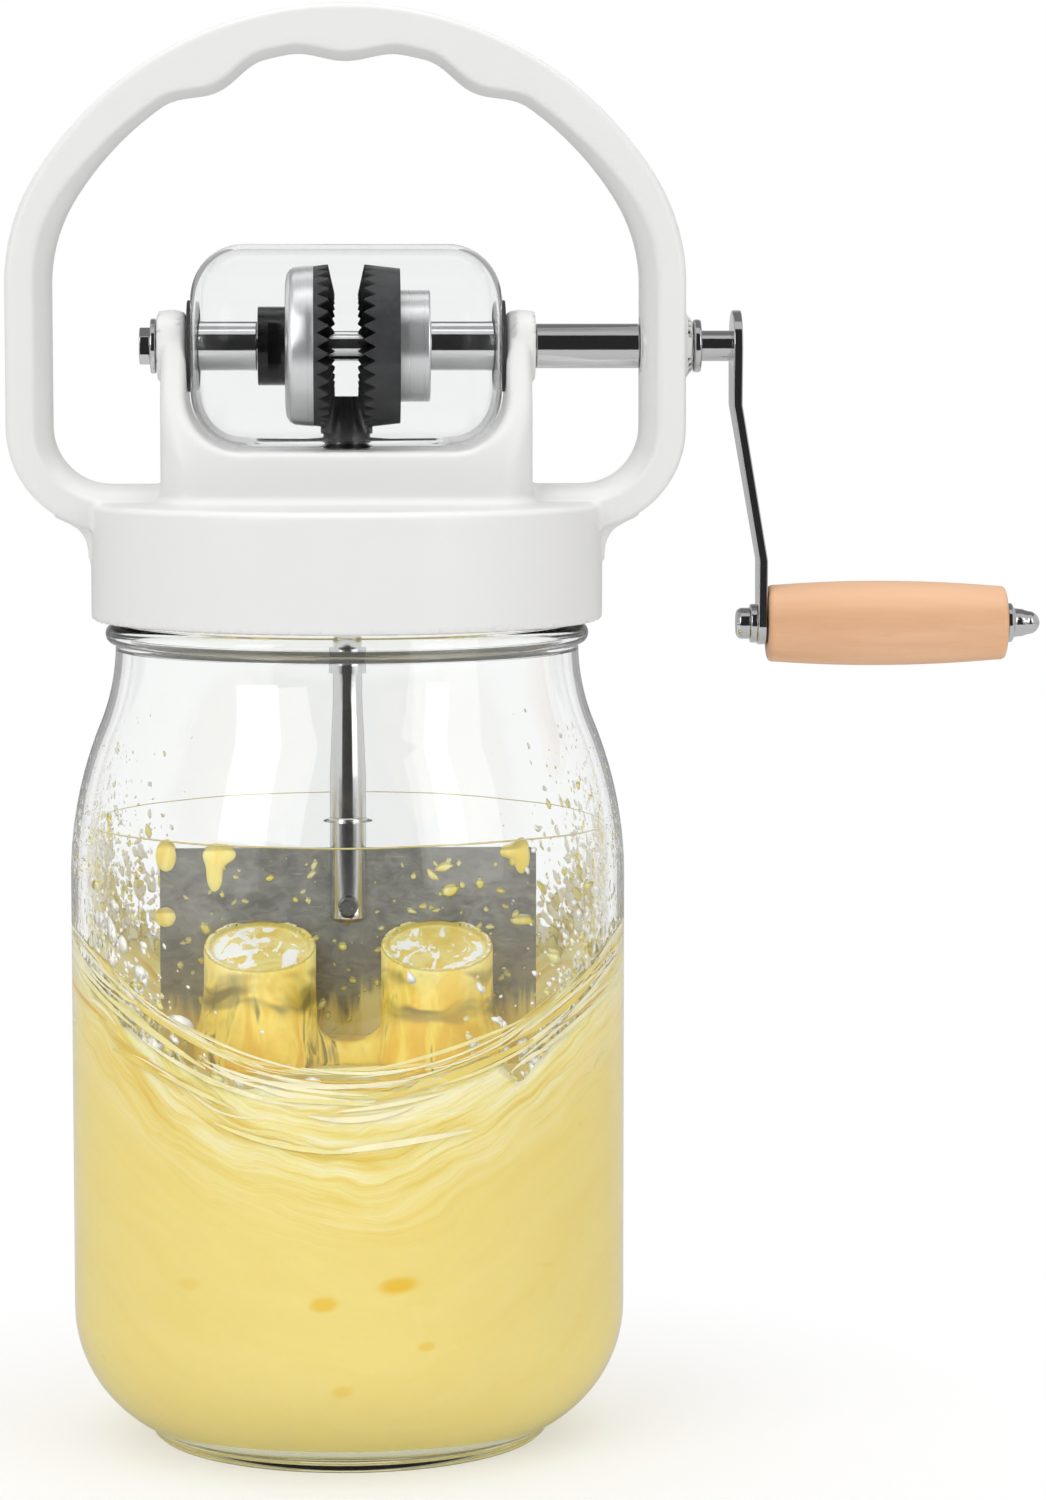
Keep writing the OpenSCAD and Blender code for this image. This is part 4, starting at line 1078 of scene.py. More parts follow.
class BuildCover(bpy.types.Operator):
    """Clear barrel round the gears, with holes for the shaft and the pinion"""

    bl_idname = "churn.build_cover"
    bl_label = "Gear Cover"

    radius = 20.0
    half = 30.6
    corner = 10.5
    wall = 0.9
    bore = 5.5
    pinion_gap = 0.6
    refraction = 1.16
    ripple = 60.0

    def barrel(self, wall):
        """Half an outline of the barrel, a wall's thickness below its outside."""
        r, x, c = self.radius - wall, self.half - wall, self.corner - wall
        ends = arc((r - c, c - x), c, -90, 0, 16) + arc((r - c, x - c), c, 0, 90, 16)
        return [(self.bore, -x)] + ends + [(self.bore, x)]

    def execute(self, context):
        verts, faces = lathe(self.barrel(0.0) + self.barrel(self.wall)[::-1], 128, laid_at(SHAFT_Z))
        clear = clear_glass("clear_cover", colours().cover, self.refraction, self.ripple)
        halves = ["cover_front", "cover_rear"]
        cover = make_piece("gear_cover", verts, faces, clear, "lid", halves)
        low, high = (1000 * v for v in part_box("pinion"))
        reach = (high.x - low.x) / 2 + self.pinion_gap
        ends = (CRADLE_Z - 1, SHAFT_Z - 10)
        hole = lathe([(0, ends[0]), (reach, ends[0]), (reach, ends[1]), (0, ends[1])], 64)
        drill = add_object("pinion_drill", mesh_of("pinion_drill", *hole))
        cut = cover.modifiers.new("pinion_hole", "BOOLEAN")
        cut.operation = "DIFFERENCE"
        cut.object = drill
        context.view_layer.objects.active = cover
        bpy.ops.object.modifier_apply(modifier=cut.name)
        bpy.data.objects.remove(drill)
        return {"FINISHED"}


# Rubber, silicone and bearings

# Radii of the bores that run on the spindle, on the shaft and on the shaft's thin end
SPINDLE_RUN = 2.55
SHAFT_RUN = 3.05
SHAFT_R = 3.0
SHAFT_END_R = 2.0


class BuildSeals(bpy.types.Operator):
    """Gasket, rubber rings, spindle seal and plain bearings"""

    bl_idname = "churn.build_seals"
    bl_label = "Seals and Bearings"

    ring_bore = 5.5
    gasket_bore = 41.8

    def execute(self, context):
        rubber = plain_rubber("seal_rubber", colours().rubber, 0.45)
        silicone = plain_rubber("gasket_silicone", colours().silicone, 0.4)
        nylon = plain_rubber("bush_nylon", colours().bush, 0.35)
        for node in ("cover_ring_left", "cover_ring_right"):
            turned_ring(node, self.ring_bore, 0.25, rubber)
        turned_ring("spindle_seal", SPINDLE_RUN, 0.4, rubber, "Z")
        turned_ring("lid_gasket", self.gasket_bore, 0.6, silicone, "Z", 144)
        for node in ("bush_left", "bush_right", "bush_handle"):
            turned_ring(node, SHAFT_RUN, 0.3, nylon)
        turned_ring("spindle_bush", SPINDLE_RUN, 0.3, nylon, "Z")
        return {"FINISHED"}


# Gears


class BuildGears(bpy.types.Operator):
    """Two bevel gears, their hubs, the idler's bush and the pinion"""

    bl_idname = "churn.build_gears"
    bl_label = "Bevel Gears"

    tooth_edge = 0.12
    tooth_angle = 25
    hub_edge = 0.35
    # Closed outline of the idler's hub, as (radius, place along the shaft)
    hub_outline = (
        (5.0, -12.0), (12.6, -12.0), (14.0, -11.75), (15.0, -11.1), (15.5, -10.2),
        (15.7, -8.2), (15.8, -6.5), (15.3, -6.3), (15.0, -7.2), (5.0, -7.2),
    )

    def execute(self, context):
        nylon = toothed_nylon([3.0 * c for c in colours().nylon])
        glossy = black_nylon("pinion_nylon", [0.4 * c for c in colours().nylon], 0.2, 0.4)
        hub = turned_metal(colours().hub)
        toothed = {"drive_gear": nylon, "idler_gear": nylon, "pinion": glossy, "idler_bush": glossy}
        for node, material in toothed.items():
            softened_copy(node, self.tooth_edge, material, 1, self.tooth_angle)
        softened_copy("drive_hub", self.hub_edge, hub)
        verts, faces = lathe(self.hub_outline, 96, laid_at(SHAFT_Z))
        body = NODES["idler_hub"]["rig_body"]
        weigh_normals(make_piece("idler_hub_turned", verts, faces, hub, body, ["idler_hub"]))
        return {"FINISHED"}


# Crank


class BuildCrank(bpy.types.Operator):
    """Shaft, sleeves, nut, collar, arm and the bolt of the grip, all plated"""

    bl_idname = "churn.build_crank"
    bl_label = "Crank"

    roughness = 0.07
    lines = (0.15, 1.0, 1.0)

    def execute(self, context):
        chrome = polished_metal("chrome_plate", colours().chrome, self.roughness, self.lines)
        for node in ("sleeve_left", "sleeve_right", "sleeve_outer"):
            turned_ring(node, SHAFT_R, 0.25, chrome)
        turned_ring("end_washer", SHAFT_END_R, 0.3, chrome)
        turned_ring("shaft_collar", SHAFT_R, 0.5, chrome)
        for node in ("crank_shaft", "end_nut", "grip_bolt", "bolt_washer", "finial_nut"):
            softened_copy(node, 0.25, chrome)
        softened_copy("crank_arm", 0.22, chrome)
        return {"FINISHED"}


# Grip


class BuildGrip(bpy.types.Operator):
    """Turned beech grip that runs loose on its bolt"""

    bl_idname = "churn.build_grip"
    bl_label = "Wooden Grip"

    bore = 2.55
    belly = 0.45
    drops = (0.8, 1.1)
    rows = 40
    end_inset = 1.2
    end_round = 1.3

    def execute(self, context):
        low, high = (1000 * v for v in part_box("wooden_grip"))
        thick = (high.y - low.y) / 2
        length = high.x - low.x
        side = []
        for i in range(1, self.rows):
            t = i / self.rows
            span, deep = (self.belly, self.drops[0]) if t < self.belly else (1 - self.belly, self.drops[1])
            drop = deep * ((t - self.belly) / span) ** 2
            side.append((thick - drop, low.x + self.end_inset + t * (length - 2 * self.end_inset)))
        first = [(self.bore, low.x), (thick - self.drops[0], low.x), side[0]]
        last = [side[-1], (thick - self.drops[1], high.x), (self.bore, high.x)]
        ends = [soften(points, self.end_round, 5)[6:12] for points in (first, last)]
        outline = first[:1] + ends[0] + side + ends[1] + last[-1:]
        verts, faces = lathe(outline, 96, laid_at(GRIP_Z))
        wood = beech_wood(colours().wood_pale, colours().wood_dark)
        weigh_normals(make_piece("wooden_grip_turned", verts, faces, wood, "grip", ["wooden_grip"]))
        return {"FINISHED"}


# Dasher


class BuildDasher(bpy.types.Operator):
    """Spindle, coupling, rod, paddle and its screw"""

    bl_idname = "churn.build_dasher"
    bl_label = "Dasher"

    edge = 0.2
    paddle_edge = 0.25

    def execute(self, context):
        c = colours()
        steel = polished_metal("dasher_steel", c.chrome, 0.1, (1.0, 1.0, 0.15))
        sheet = paddle_steel(c.steel, c.butter_pale, c.butter_deep)
        for node in ("drive_spindle", "coupling_sleeve", "coupling_pin", "dasher_rod"):
            softened_copy(node, self.edge, steel)
        # Painted shade: the screw's steel is a darker copy of the chrome, which makes it look sunk in a
        # recess
        dark = polished_metal("screw_steel", [0.4 * v for v in c.chrome], 0.2, (1.0, 1.0, 1.0))
        softened_copy("paddle_screw", self.edge, dark)
        softened_copy("paddle", self.paddle_edge, sheet)
        return {"FINISHED"}


# Butter


def wave(turn, seed, counts=(1, 2, 3, 5, 8, 13), fall=0.75):
    """Smooth closed waviness round the jar, about -1 to 1."""
    rng = np.random.default_rng(seed)
    total, size, weight = 0.0, 0.0, 1.0
    for count in counts:
        total += weight * math.sin(count * turn + rng.uniform(0, 2 * math.pi))
        size += weight
        weight *= fall
    return total / size * 1.6


class BuildButter(bpy.types.Operator):
    """Churned butter in the jar, on the paddle and splashed on the glass"""

    bl_idname = "churn.build_butter"
    bl_label = "Butter"

    # How far the butter reaches into the glass, stays off its floor, and spreads its strokes in depth
    wet = 0.06
    lift = 0.1
    layers = 0.46
    # Heights between which the butter comes to touch the glass
    touch_z = (7.4, 8.0)
    # Radius of the bowl that the paddle has swept, and the mesh's columns and rows
    swept_r = 39.2
    columns = 288
    wall_rows = 44
    film_rows = 14
    bowl_rows = 26
    whey_level = 123.2
    # Height of the smooth line on the glass above the butter's level
    line_rise = 9.5
    # Butter's edge in front, as (across the jar, above the butter's level)
    edge_half = 52
    edge_marks = (
        (-52, 33), (-46, 22.5), (-36, 15), (-28, 10.5), (-15, 9.5), (-3, 9), (10, 11),
        (20, 14), (24, 15), (28, 12.5), (31.5, 10.5), (36, 12.5), (41, 17.5), (49.5, 29), (52, 33),
    )
    # Pits low in the butter, as (across, height, width, height of the pit, strength of its colour)
    pockets = (
        (9.1, 39.7, 8.6, 3.8, 1.0),
        (-4.9, 36.2, 6.2, 3.4, 0.85),
        (-30.0, 38.5, 5.0, 2.8, 0.3),
        (14.4, 27.6, 3.8, 2.2, 0.6),
        (-1.5, 19.4, 4.8, 2.6, 0.5),
    )
    # Points along a stroke, its thickness, and how far below the line the last strokes lie
    stroke_points = 15
    stroke_thick = 0.35
    lowest_stroke = 14.0
    # The lobes on the paddle: their middles, radius, place in front, top and its lean
    lobe_x = 17.4
    lobe_r = 11.0
    lobe_y = 9.9
    lobe_top = 99.6
    lobe_low = 75.2
    lobe_lean = math.radians(19)
    # Drips on the paddle's edges, as (across, height, half width, half height), and half their thickness
    drips = (
        (-36.2, PADDLE_TOP - 1.5, 2.2, 3.4),
        (-25.6, PADDLE_TOP - 1.2, 3.6, 2.2),
        (-26.6, PADDLE_TOP - 5.0, 1.8, 4.0),
        (34.6, PADDLE_TOP - 1.8, 1.8, 3.8),
        (32.2, PADDLE_TOP - 0.9, 2.2, 1.4),
        (-36.4, 103.8, 2.2, 2.2),
    )
    drip_half = 1.5
    # Outline of the whey that clings to the rod, as (off the rod, above the level)
    whey_outline = ((-0.1, -0.3), (0.5, -0.45), (1.3, -0.45), (1.2, -0.25), (0.4, 0.0), (-0.1, 0.5))
    # Section of the line on the glass, as (off the glass, above the level)
    line_section = ((-0.02, -0.1), (-0.12, -0.03), (-0.11, 0.03), (-0.02, 0.09))
    line_steps = 180
    # Sides of a drop, the highest drops, and the specks on the paddle's front and back
    drop_sides = 9
    splash_top = 143
    specks = ((-1, 130), (1, 110))

    def sagged(self, turn, share=1.0):
        """Smooth line on the glass: low in front and behind, high at the sides."""
        made = sizes()
        side = 0.5 + 0.5 * math.cos(2 * turn)
        climb = made.butter_climb * share * (0.02 + 0.98 * side**1.1)
        return 1000 * (made.butter_rest + climb) + self.line_rise

    def edge_height(self, turn):
        """Height to which the butter climbs the glass."""
        side = abs(math.cos(turn))
        ragged = 1.6 * wave(turn, 12, (17, 23, 31, 43, 61)) * (0.3 + side)
        if math.sin(turn) > 0:
            return self.sagged(turn) + 1.8 * wave(turn, 11) * math.sin(turn) + ragged
        across, rise = zip(*self.edge_marks)
        marked = float(np.interp(self.edge_half * math.cos(turn), across, rise))
        return 1000 * sizes().butter_rest + marked + ragged

    def surface_height(self, r, turn):
        """Height of the bowl that the paddle has swept, with folds that follow the swirl."""
        rest = 1000 * sizes().butter_rest
        swirl = turn + 0.07 * r
        fold = 0.9 * math.sin(3 * swirl + 0.5 * math.sin(2 * turn)) + 0.6 * math.sin(7 * swirl + 1.3)
        return rest - 3.0 + 2.4 * (r / 39.0) ** 2 + fold * min(1.0, r / 12.0)

    def mass_column(self, turn):
        """Points of the butter at one side, from its foot up the glass and down into the bowl."""
        foot, top = FLOOR + self.lift, self.edge_height(turn)
        column = []
        for i in range(self.wall_rows + 1):
            z = foot + (i / self.wall_rows) ** 1.8 * (top - FLOOR - self.lift)
            touch = float(smooth_step(z, *self.touch_z))
            column.append((inner_radius(z) - self.lift + (self.lift + self.wet) * touch, z))
        rim = self.surface_height(self.swept_r, turn)
        wall = column[-1][0]
        for i in range(1, self.film_rows + 1):
            t = i / self.film_rows
            z = top + (rim - top) * t**1.25
            thin = 0.7 + (wall - self.swept_r - 0.7) * t**2.2
            bump = 0.5 * math.sin(9 * turn + 0.35 * z) + 0.35 * math.sin(17 * turn - 0.5 * z)
            column.append((wall - thin + min(0.0, bump * t * (1 - t) * 3 - 0.2), z))
        for i in range(1, self.bowl_rows):
            r = self.swept_r * (1 - i / self.bowl_rows)
            column.append((r, self.surface_height(r, turn)))
        return column

    def build_mass(self, butter):
        """The butter in the jar, closed below on the floor and above by the bowl."""
        verts, faces = [], []
        for k in range(self.columns):
            turn = 2 * math.pi * k / self.columns
            c, s = math.cos(turn), math.sin(turn)
            verts += [(r * c, r * s, z) for r, z in self.mass_column(turn)]
        rows = self.wall_rows + self.film_rows + self.bowl_rows
        for k in range(self.columns):
            n = (k + 1) % self.columns
            for i in range(rows - 1):
                faces.append([k * rows + i, n * rows + i, n * rows + i + 1, k * rows + i + 1])
        low, high = len(verts), len(verts) + 1
        verts += [(0, 0, FLOOR + 0.3 + self.lift), (0, 0, self.surface_height(0, 0))]
        for k in range(self.columns):
            n = (k + 1) % self.columns
            faces.append([low, n * rows, k * rows])
            faces.append([high, k * rows + rows - 1, n * rows + rows - 1])
        make_piece("butter_mass", verts, faces, butter, "jar", ["butter", "butter_rim"])

    def smear(self, middles, across, outward, width, verts, faces, normals):
        """A tapered smear with a flat face outwards and a low ridge inwards, along a line of points."""
        start, last = len(verts), len(middles) - 1
        for i, (middle, side, out) in enumerate(zip(middles, across, outward)):
            half = width * max(math.sin(math.pi * (0.04 + 0.92 * i / last)), 0.02) ** 0.7
            verts += [middle + side * half, middle, middle - side * half, middle - out * self.stroke_thick]
            normals += [out, out, out, -out]
        for i in range(last):
            for k in range(4):
                n = (k + 1) % 4
                a, b = start + 4 * i, start + 4 * i + 4
                faces.append([a + k, a + n, b + n, b + k])
        faces.append([start + k for k in range(4)])
        faces.append([start + 4 * last + k for k in range(4)])

    def build_strokes(self, sets):
        """Strokes of butter on the glass, from cream to amber, which follow the sag of the edge."""
        rng = np.random.default_rng(31)
        last = self.stroke_points - 1
        for number in range(sizes().stroke_count):
            middle = rng.uniform(0, 2 * math.pi)
            below = rng.exponential(4.0) - 3.0
            reach = rng.uniform(0.06, 0.36)
            share = 1.0 - 0.6 * min(max(below, 0) / 26, 1)
            tilt, bend = rng.uniform(-3, 3), rng.uniform(-1.5, 1.5)
            width = rng.uniform(0.15, 0.75) * (1.0 if below > 0 else 0.6)
            kind = min(int(rng.exponential(1.7)), len(sets) - 1)
            off = -self.wet - 0.02 - self.layers * ((number * 7) % 23) / 23
            if below > self.lowest_stroke:
                continue
            points, sides, outs = [], [], []
            for i in range(self.stroke_points):
                t = 2 * i / last - 1
                turn = middle + reach * t
                z = self.sagged(turn, share) - below + tilt * t * reach + bend * (1 - t * t)
                out = Vector((math.cos(turn), math.sin(turn), 0))
                points.append(out * (inner_radius(z) - off) + Vector((0, 0, z)))
                outs.append(out)
            for i, out in enumerate(outs):
                along = points[min(i + 1, last)] - points[max(i - 1, 0)]
                sides.append(along.cross(out).normalized())
            self.smear(points, sides, outs, width, *sets[kind][2:])
        for name, material, verts, faces, normals in sets:
            make_piece(name, verts, faces, material, "jar", normals=normals)

    def build_lobes(self, butter):
        """Two columns of butter that push through the paddle's holes, with slanted oval tops."""

        def field(x, y, z):
            lobes = []
            for middle in (-self.lobe_x, self.lobe_x):
                low = smooth_step(-z, -92, -77)
                sway = 0.3 * np.sin(0.55 * z + 0.4 * x) * low
                away = np.hypot(x - middle * (1 + 0.05 * low), y + self.lobe_y)
                side = away - self.lobe_r - 1.3 * low - sway
                slant = (y + self.lobe_y) * math.sin(self.lobe_lean)
                top = (z - self.lobe_top) * math.cos(self.lobe_lean) - slant
                dish = 0.9 * smooth_step(-side, 0.3, 2.2)
                lobes.append(round_and(side, top + dish, 0.6))
            neck = np.hypot(x, (y + 5.0) * 1.6) - 9.0
            bridge = round_and(neck, z - 80.0, 2.5)
            joined = round_or(np.minimum(lobes[0], lobes[1]), bridge, 5.0)
            return round_and(joined, self.lobe_low - z, 1.5)

        points, faces, normals = skin(field, (-33.2, -25.2, 73.4), (33.2, 3.4, 106.2), 0.8)
        if min(p[2] for p in points) < PADDLE_LOW:
            raise RuntimeError("the butter on the paddle hangs below its lower edge")
        make_piece("butter_lobes", points, faces, butter, "dasher", normals=normals)

    def build_drips(self, butter):
        """Drips over the paddle's upper edge and a blob on its left edge."""

        def field(x, y, z):
            total = 1e3
            for middle, height, wide, tall in self.drips:
                flat = ((x - middle) / wide) ** 2 + ((z - height) / tall) ** 2
                total = round_or(total, (np.sqrt(flat + (y / self.drip_half) ** 2) - 1) * 1.2, 1.0)
            return total

        points, faces, normals = skin(field, (-40.2, -2.6, 98.2), (40.0, 2.6, 121.0), 0.5)
        make_piece("butter_drips", points, faces, butter, "dasher", normals=normals)

    def build_whey_ring(self, whey):
        """Thin skin of whey that clings round the rod."""
        rod = 1000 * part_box("dasher_rod")[1].x
        verts, faces = lathe([(rod + off, self.whey_level + up) for off, up in self.whey_outline], 72)
        make_piece("whey_ring", verts, faces, whey, "dasher")

    def drop(self, rng, centre, normal, along, size, flat, verts, faces, sink):
        """One low drop with an uneven rim, on a wall with the given normal."""
        across = normal.cross(along).normalized()
        along = across.cross(normal).normalized()
        long = rng.uniform(1.0, 2.1)
        sides = self.drop_sides
        rim = [size * (1 + 0.22 * rng.uniform(-1, 1)) for _ in range(sides)]
        top = len(verts)
        verts.append(centre + normal * size * flat)
        for share, rise in ((0.62, 0.74), (1.0, 0.0)):
            for k in range(sides):
                a = 2 * math.pi * k / sides
                step = along * (math.cos(a) * long) + across * math.sin(a)
                lift = normal * (size * flat * rise - sink * (1 - rise))
                verts.append(centre + step * (rim[k] * share) + lift)
        verts.append(centre - normal * sink)
        inner, outer, foot = top + 1, top + 1 + sides, top + 1 + 2 * sides
        for k in range(sides):
            n = (k + 1) % sides
            faces.append([top, inner + k, inner + n])
            faces.append([inner + k, outer + k, outer + n, inner + n])
            faces.append([foot, outer + n, outer + k])

    def build_splashes(self, butter, cream):
        """Drops of butter and of cream on the inside of the glass, thickest at both sides."""
        rng = np.random.default_rng(5)
        sets = {"butter_splashes": ([], [], butter), "cream_splashes": ([], [], cream)}
        made = 0
        while made < sizes().splash_count:
            turn = rng.uniform(0, 2 * math.pi)
            c, s = math.cos(turn), math.sin(turn)
            side = abs(c)
            high = rng.exponential(4.5 + 6.5 * side)
            z = self.edge_height(turn) - 1.0 + high
            if z > self.splash_top or rng.uniform() > 0.003 + 0.997 * side**5:
                continue
            size = min(rng.lognormal(-0.7, 0.58), 1.9) * (1.05 - 0.55 * min(high / 34, 1))
            normal = Vector((-c, -s, 0))
            along = Vector((-s, c, rng.uniform(-0.4, 2.4) * math.copysign(1, s)))
            yellow = rng.uniform() < 0.75 - 0.5 * min(high / 16, 1)
            verts, faces, _ = sets["butter_splashes" if yellow else "cream_splashes"]
            centre = -normal * inner_radius(z) + Vector((0, 0, z))
            self.drop(rng, centre, normal, along, size, 0.34, verts, faces, -0.02)
            made += 1
        for name, (verts, faces, material) in sets.items():
            make_piece(name, verts, faces, material, "jar")

    def build_specks(self, butter):
        """Specks of butter on both faces of the paddle, clear of its holes and of the rod."""
        rng = np.random.default_rng(8)
        verts, faces = [], []
        for side, count in self.specks:
            made = 0
            while made < count:
                x, z = rng.uniform(-35.5, 35.5), rng.uniform(PADDLE_LOW + 2, PADDLE_TOP - 1.5)
                if math.hypot(abs(x) - self.lobe_x, z - 93) < 11.5 or (abs(x) < 5 and z > 101):
                    continue
                size = min(rng.lognormal(-0.95, 0.55), 1.5)
                along = Vector((rng.uniform(-1, 1), 0, rng.uniform(-1, 1)))
                centre, normal = Vector((x, side * 0.6, z)), Vector((0, side, 0))
                self.drop(rng, centre, normal, along, size, 0.5, verts, faces, 0.05)
                made += 1
        make_piece("butter_specks", verts, faces, butter, "dasher")

    def build_cream_line(self, cream):
        """Thin line that the cream has left round the glass, stronger in front."""
        verts, faces = [], []
        for k in range(self.line_steps):
            turn = 2 * math.pi * k / self.line_steps
            z = self.whey_level + 0.25 * wave(turn, 21)
            r = inner_radius(z)
            swell = 1.0 + max(0.0, -math.sin(turn))
            for off, rise in self.line_section:
                verts.append(((r + off) * math.cos(turn), (r + off) * math.sin(turn), z + rise * swell))
        for k in range(self.line_steps):
            n = (k + 1) % self.line_steps
            for i in range(4):
                j = (i + 1) % 4
                faces.append([4 * k + i, 4 * n + i, 4 * n + j, 4 * k + j])
        make_piece("cream_line", verts, faces, cream, "jar")

    def execute(self, context):
        c = colours()
        pale, deep, amber = c.butter_pale, c.butter_deep, c.butter_amber
        churned = churned_butter(pale, deep, amber, self.pockets)
        lobes = loose_butter("butter_lobes", pale, deep, amber, 0.086, 0.098)
        drops = loose_butter("butter_drops", pale, deep, amber, 0.060, 0.075)
        middle = [0.5 * a + 0.5 * b for a, b in zip(pale, deep)]
        tones = {"cream": toned(pale, **CREAM), "pale": pale, "middle": middle, "deep": deep, "amber": amber}
        sets = []
        for tone, colour in tones.items():
            name = tone + "_strokes"
            sets.append((name, smeared_butter(name, colour), [], [], []))
        self.build_mass(churned)
        self.build_strokes(sets)
        self.build_whey_ring(clear_glass("clear_whey", c.whey, 1.34, 300.0))
        self.build_lobes(lobes)
        self.build_drips(drops)
        self.build_splashes(drops, smeared_butter("cream_drops", c.cream_drops))
        self.build_specks(drops)
        self.build_cream_line(smeared_butter("whey_line", c.whey_line))
        return {"FINISHED"}


# Stage

WHITE = (1.0, 1.0, 1.0, 1.0)


def turn_to(obj, point, axis):
    """Turns an object so that one of its axes points to a place."""
    obj.rotation_euler = (Vector(point) - obj.location).to_track_quat(axis, "Y").to_euler()


def flat_panel(name, middle, width, height, facing, material):
    """A flat stage panel that faces a point."""
    w, h = width / 2, height / 2
    mesh = bpy.data.meshes.new(name)
    mesh.from_pydata([(-w, -h, 0), (w, -h, 0), (w, h, 0), (-w, h, 0)], [], [[0, 1, 2, 3]])
    mesh.materials.append(material)
    obj = add_object(name, mesh)
    obj.location = middle
    turn_to(obj, facing, "Z")
    return obj


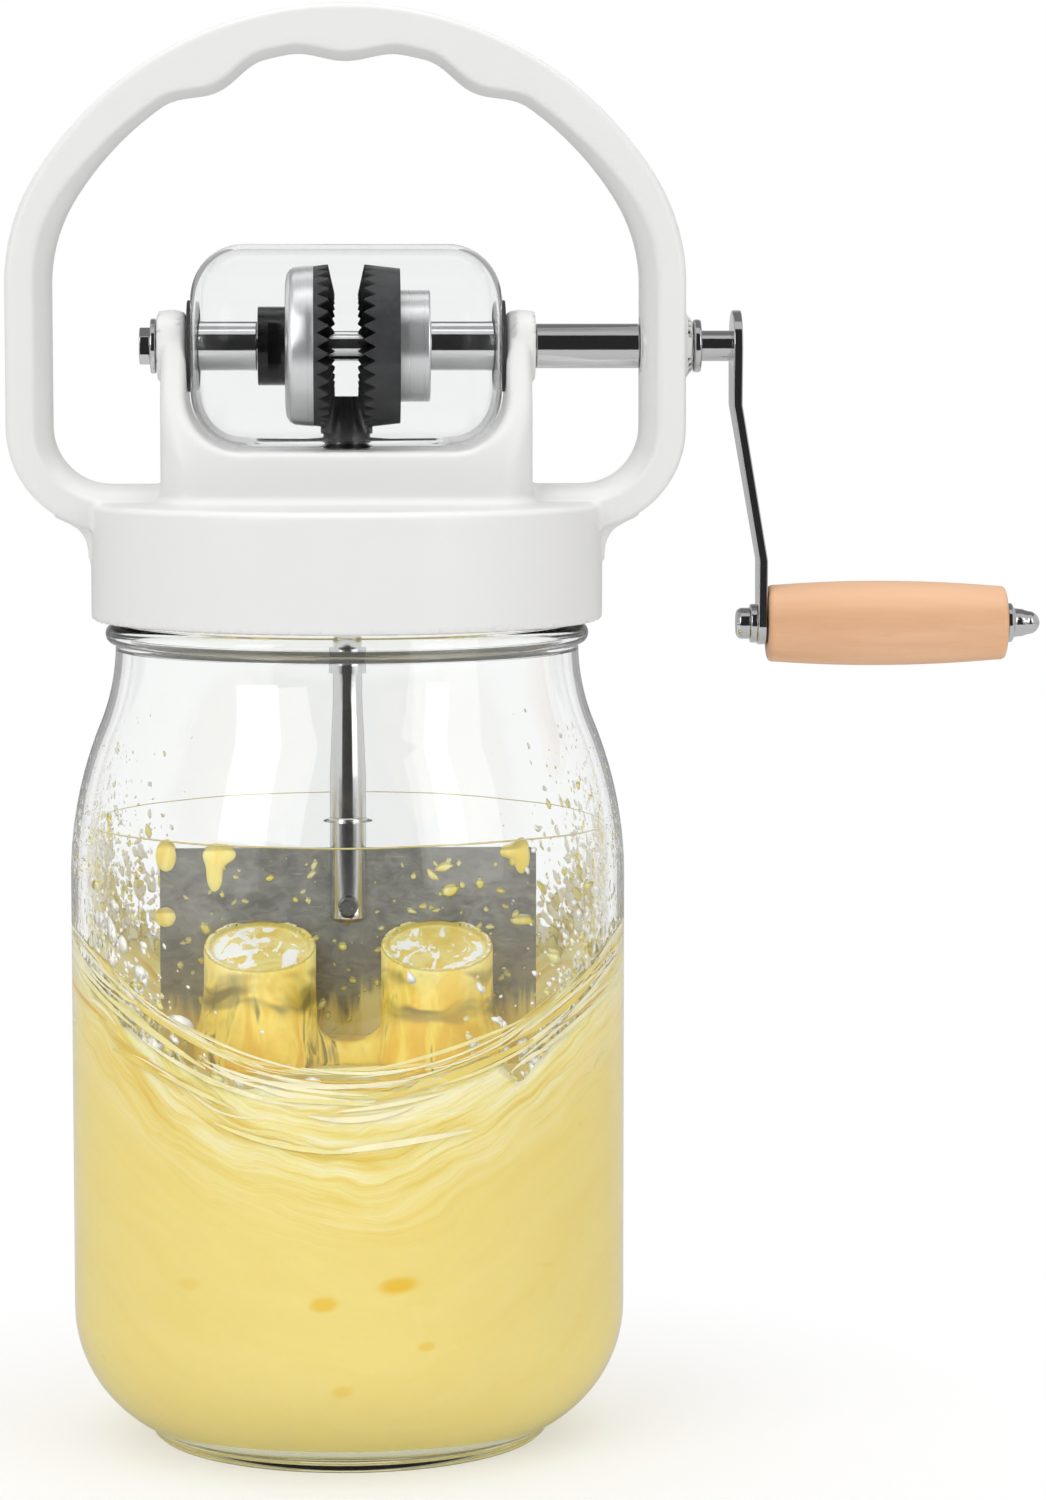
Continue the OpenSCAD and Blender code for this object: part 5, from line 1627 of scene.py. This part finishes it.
class BuildStage(bpy.types.Operator):
    """White floor, soft lamps, dark cards for the metal and glass, and the camera"""

    bl_idname = "churn.build_stage"
    bl_label = "Studio"

    camera_at = (0.0, -0.940, 0.227)
    pitch = 5.476
    pan = 2.124
    lens = 113.9
    sensor = 36.0
    # Name, place, size and power of each lamp, and the point they all face
    lamps = (
        ("key_lamp", (-0.75, -0.95, 0.78), 0.9, 6.2),
        ("fill_lamp", (0.95, -0.8, 0.5), 0.9, 4.0),
        ("top_lamp", (0.0, 0.25, 1.25), 1.1, 4.4),
    )
    lit_point = (0, 0, 0.13)
    # Name, middle, width, height, faced point and brightness of each card
    cards = (
        ("front_card", (-0.1, -1.6, 1.34), 2.3, 2.68, (-0.1, 0.0, 1.34), 0.03),
        ("floor_card", (-0.1, -1.1, 0.004), 2.3, 1.0, (-0.1, -1.1, 1.0), 0.03),
        ("top_card", (0.0, 1.2, 1.6), 3.0, 2.6, (0.0, 1.2, 0.0), 0.22),
        ("left_card", (-0.24, 0.75, 0.35), 0.26, 0.9, (0.0, 0.0, 0.35), 0.4),
        ("right_card", (0.24, 0.75, 0.35), 0.26, 0.9, (0.0, 0.0, 0.35), 0.4),
        ("left_strip", (-1.0, -1.0, 0.85), 0.5, 1.0, (0.0, 0.0, 0.85), 3.0),
        ("right_strip", (1.1, -1.1, 0.85), 0.28, 1.0, (0.0, 0.0, 0.85), 3.0),
    )
    floor_size = 24
    shadow_reach = (0.055, 0.16)
    world_light = 0.62

    def light(self, f, kind, strength):
        """White light of a given strength, from a surface or the world."""
        return f.node(kind, sockets={"Color": WHITE, "Strength": strength})

    def seen_plainly(self, f):
        """1 for rays from the camera, and for those by way of glass or a shiny face."""
        seen = f.light_path("Is Camera Ray")
        for other in ("Is Glossy Ray", "Is Transmission Ray"):
            seen = seen.math("MAXIMUM", seen, f.light_path(other))
        return seen

    def turned(self, f, output):
        """1 for rays that have been turned in one way, once or more."""
        depth = f.light_path(output)
        return depth.math("MINIMUM", depth, 1.0)

    def mirrored(self, f):
        """1 for rays that a shiny face has turned and no glass has bent."""
        return self.turned(f, "Glossy Depth") * (1.0 - self.turned(f, "Transmission Depth"))

    def build_floor(self):
        """White floor that keeps the shadow near the jar, and is darker in what mirrors it."""
        f = Finish("white_floor")
        x, y, _ = f.parts_of(f.place())
        mirrored = self.mirrored(f)
        pale = f.blend(mirrored * 0.6, toned((0.97, 0.97, 0.97)), toned((0.3, 0.3, 0.3)))
        lit = f.principled(base_color=pale, roughness=1.0, specular_ior_level=0.0)
        far = ((x * x + y * y) ** 0.5).clamped(*self.shadow_reach)
        share = self.seen_plainly(f) * (0.42 + 0.58 * far) * (1.0 - 0.8 * mirrored)
        material = f.surface(f.mixed(share, lit, self.light(f, "ShaderNodeEmission", 1.0)))
        flat_panel("studio_floor", (0, 0, 0), self.floor_size, self.floor_size, (0, 0, 1), material)

    def build_world(self, context):
        """White to the eye, and less bright as a light and in mirrors."""
        f = Finish("white_studio", world=True)
        plain = self.light(f, "ShaderNodeBackground", self.world_light)
        white = self.light(f, "ShaderNodeBackground", 1.0)
        f.surface(f.mixed(self.seen_plainly(f) * (1.0 - self.mirrored(f)), plain, white))
        context.scene.world = f.data

    def build_cards(self):
        """Dark and grey cards and bright strips, which show only where a face mirrors them."""
        for name, middle, width, height, facing, level in self.cards:
            f = Finish(name)
            clear = f.node("ShaderNodeBsdfTransparent")
            plain = self.light(f, "ShaderNodeEmission", level)
            card = f.surface(f.mixed(self.turned(f, "Glossy Depth"), clear, plain))
            panel = flat_panel(name, middle, width, height, facing, card)
            panel.visible_camera = False
            panel.visible_diffuse = False
            panel.visible_shadow = False

    def build_lamps(self):
        """Soft square lamps that no shiny face shows."""
        for name, place, size, power in self.lamps:
            lamp = bpy.data.lights.new(name, "AREA")
            lamp.shape = "SQUARE"
            lamp.size = size
            lamp.energy = power
            obj = add_object(name, lamp)
            obj.location = place
            turn_to(obj, self.lit_point, "-Z")
            obj.visible_glossy = False

    def build_camera(self, context):
        """Camera at the photograph's viewing angle."""
        camera = bpy.data.cameras.new("photo_camera")
        camera.lens = self.lens
        camera.sensor_width = self.sensor
        obj = add_object("photo_camera", camera)
        obj.location = self.camera_at
        pan = Matrix.Rotation(math.radians(-self.pan), 3, "Z")
        pitch = Matrix.Rotation(math.radians(90 - self.pitch), 3, "X")
        obj.rotation_euler = (pan @ pitch).to_euler()
        context.scene.camera = obj

    def execute(self, context):
        self.build_floor()
        self.build_world(context)
        self.build_cards()
        self.build_lamps()
        self.build_camera(context)
        context.scene.view_settings.view_transform = "Standard"
        return {"FINISHED"}


# Panel and start

OPERATORS = (
    BuildJar,
    BuildMoulding,
    BuildCover,
    BuildSeals,
    BuildGears,
    BuildCrank,
    BuildGrip,
    BuildDasher,
    BuildButter,
    BuildStage,
)


class ChurnPanel(bpy.types.Panel):
    """Lists the pieces of the churn"""

    bl_idname = "VIEW3D_PT_churn"
    bl_label = "Butter Churn"
    bl_space_type = "VIEW_3D"
    bl_region_type = "UI"
    bl_category = "Churn"

    def draw(self, context):
        for group in (context.scene.churn_colours, context.scene.churn_sizes):
            box = self.layout.box()
            for name in group.bl_rna.properties.keys():
                if name not in ("rna_type", "name"):
                    box.prop(group, name)
        for operator in OPERATORS:
            self.layout.operator(operator.bl_idname)


CLASSES = (ChurnColours, ChurnSizes, *OPERATORS, ChurnPanel)


def register():
    for cls in CLASSES:
        bpy.utils.register_class(cls)
    bpy.types.Scene.churn_colours = bpy.props.PointerProperty(type=ChurnColours)
    bpy.types.Scene.churn_sizes = bpy.props.PointerProperty(type=ChurnSizes)


def unregister():
    del bpy.types.Scene.churn_sizes
    del bpy.types.Scene.churn_colours
    for cls in reversed(CLASSES):
        bpy.utils.unregister_class(cls)


def main():
    register()
    for operator in OPERATORS:
        group, name = operator.bl_idname.split(".")
        getattr(getattr(bpy.ops, group), name)()


if __name__ == "__main__":
    main()
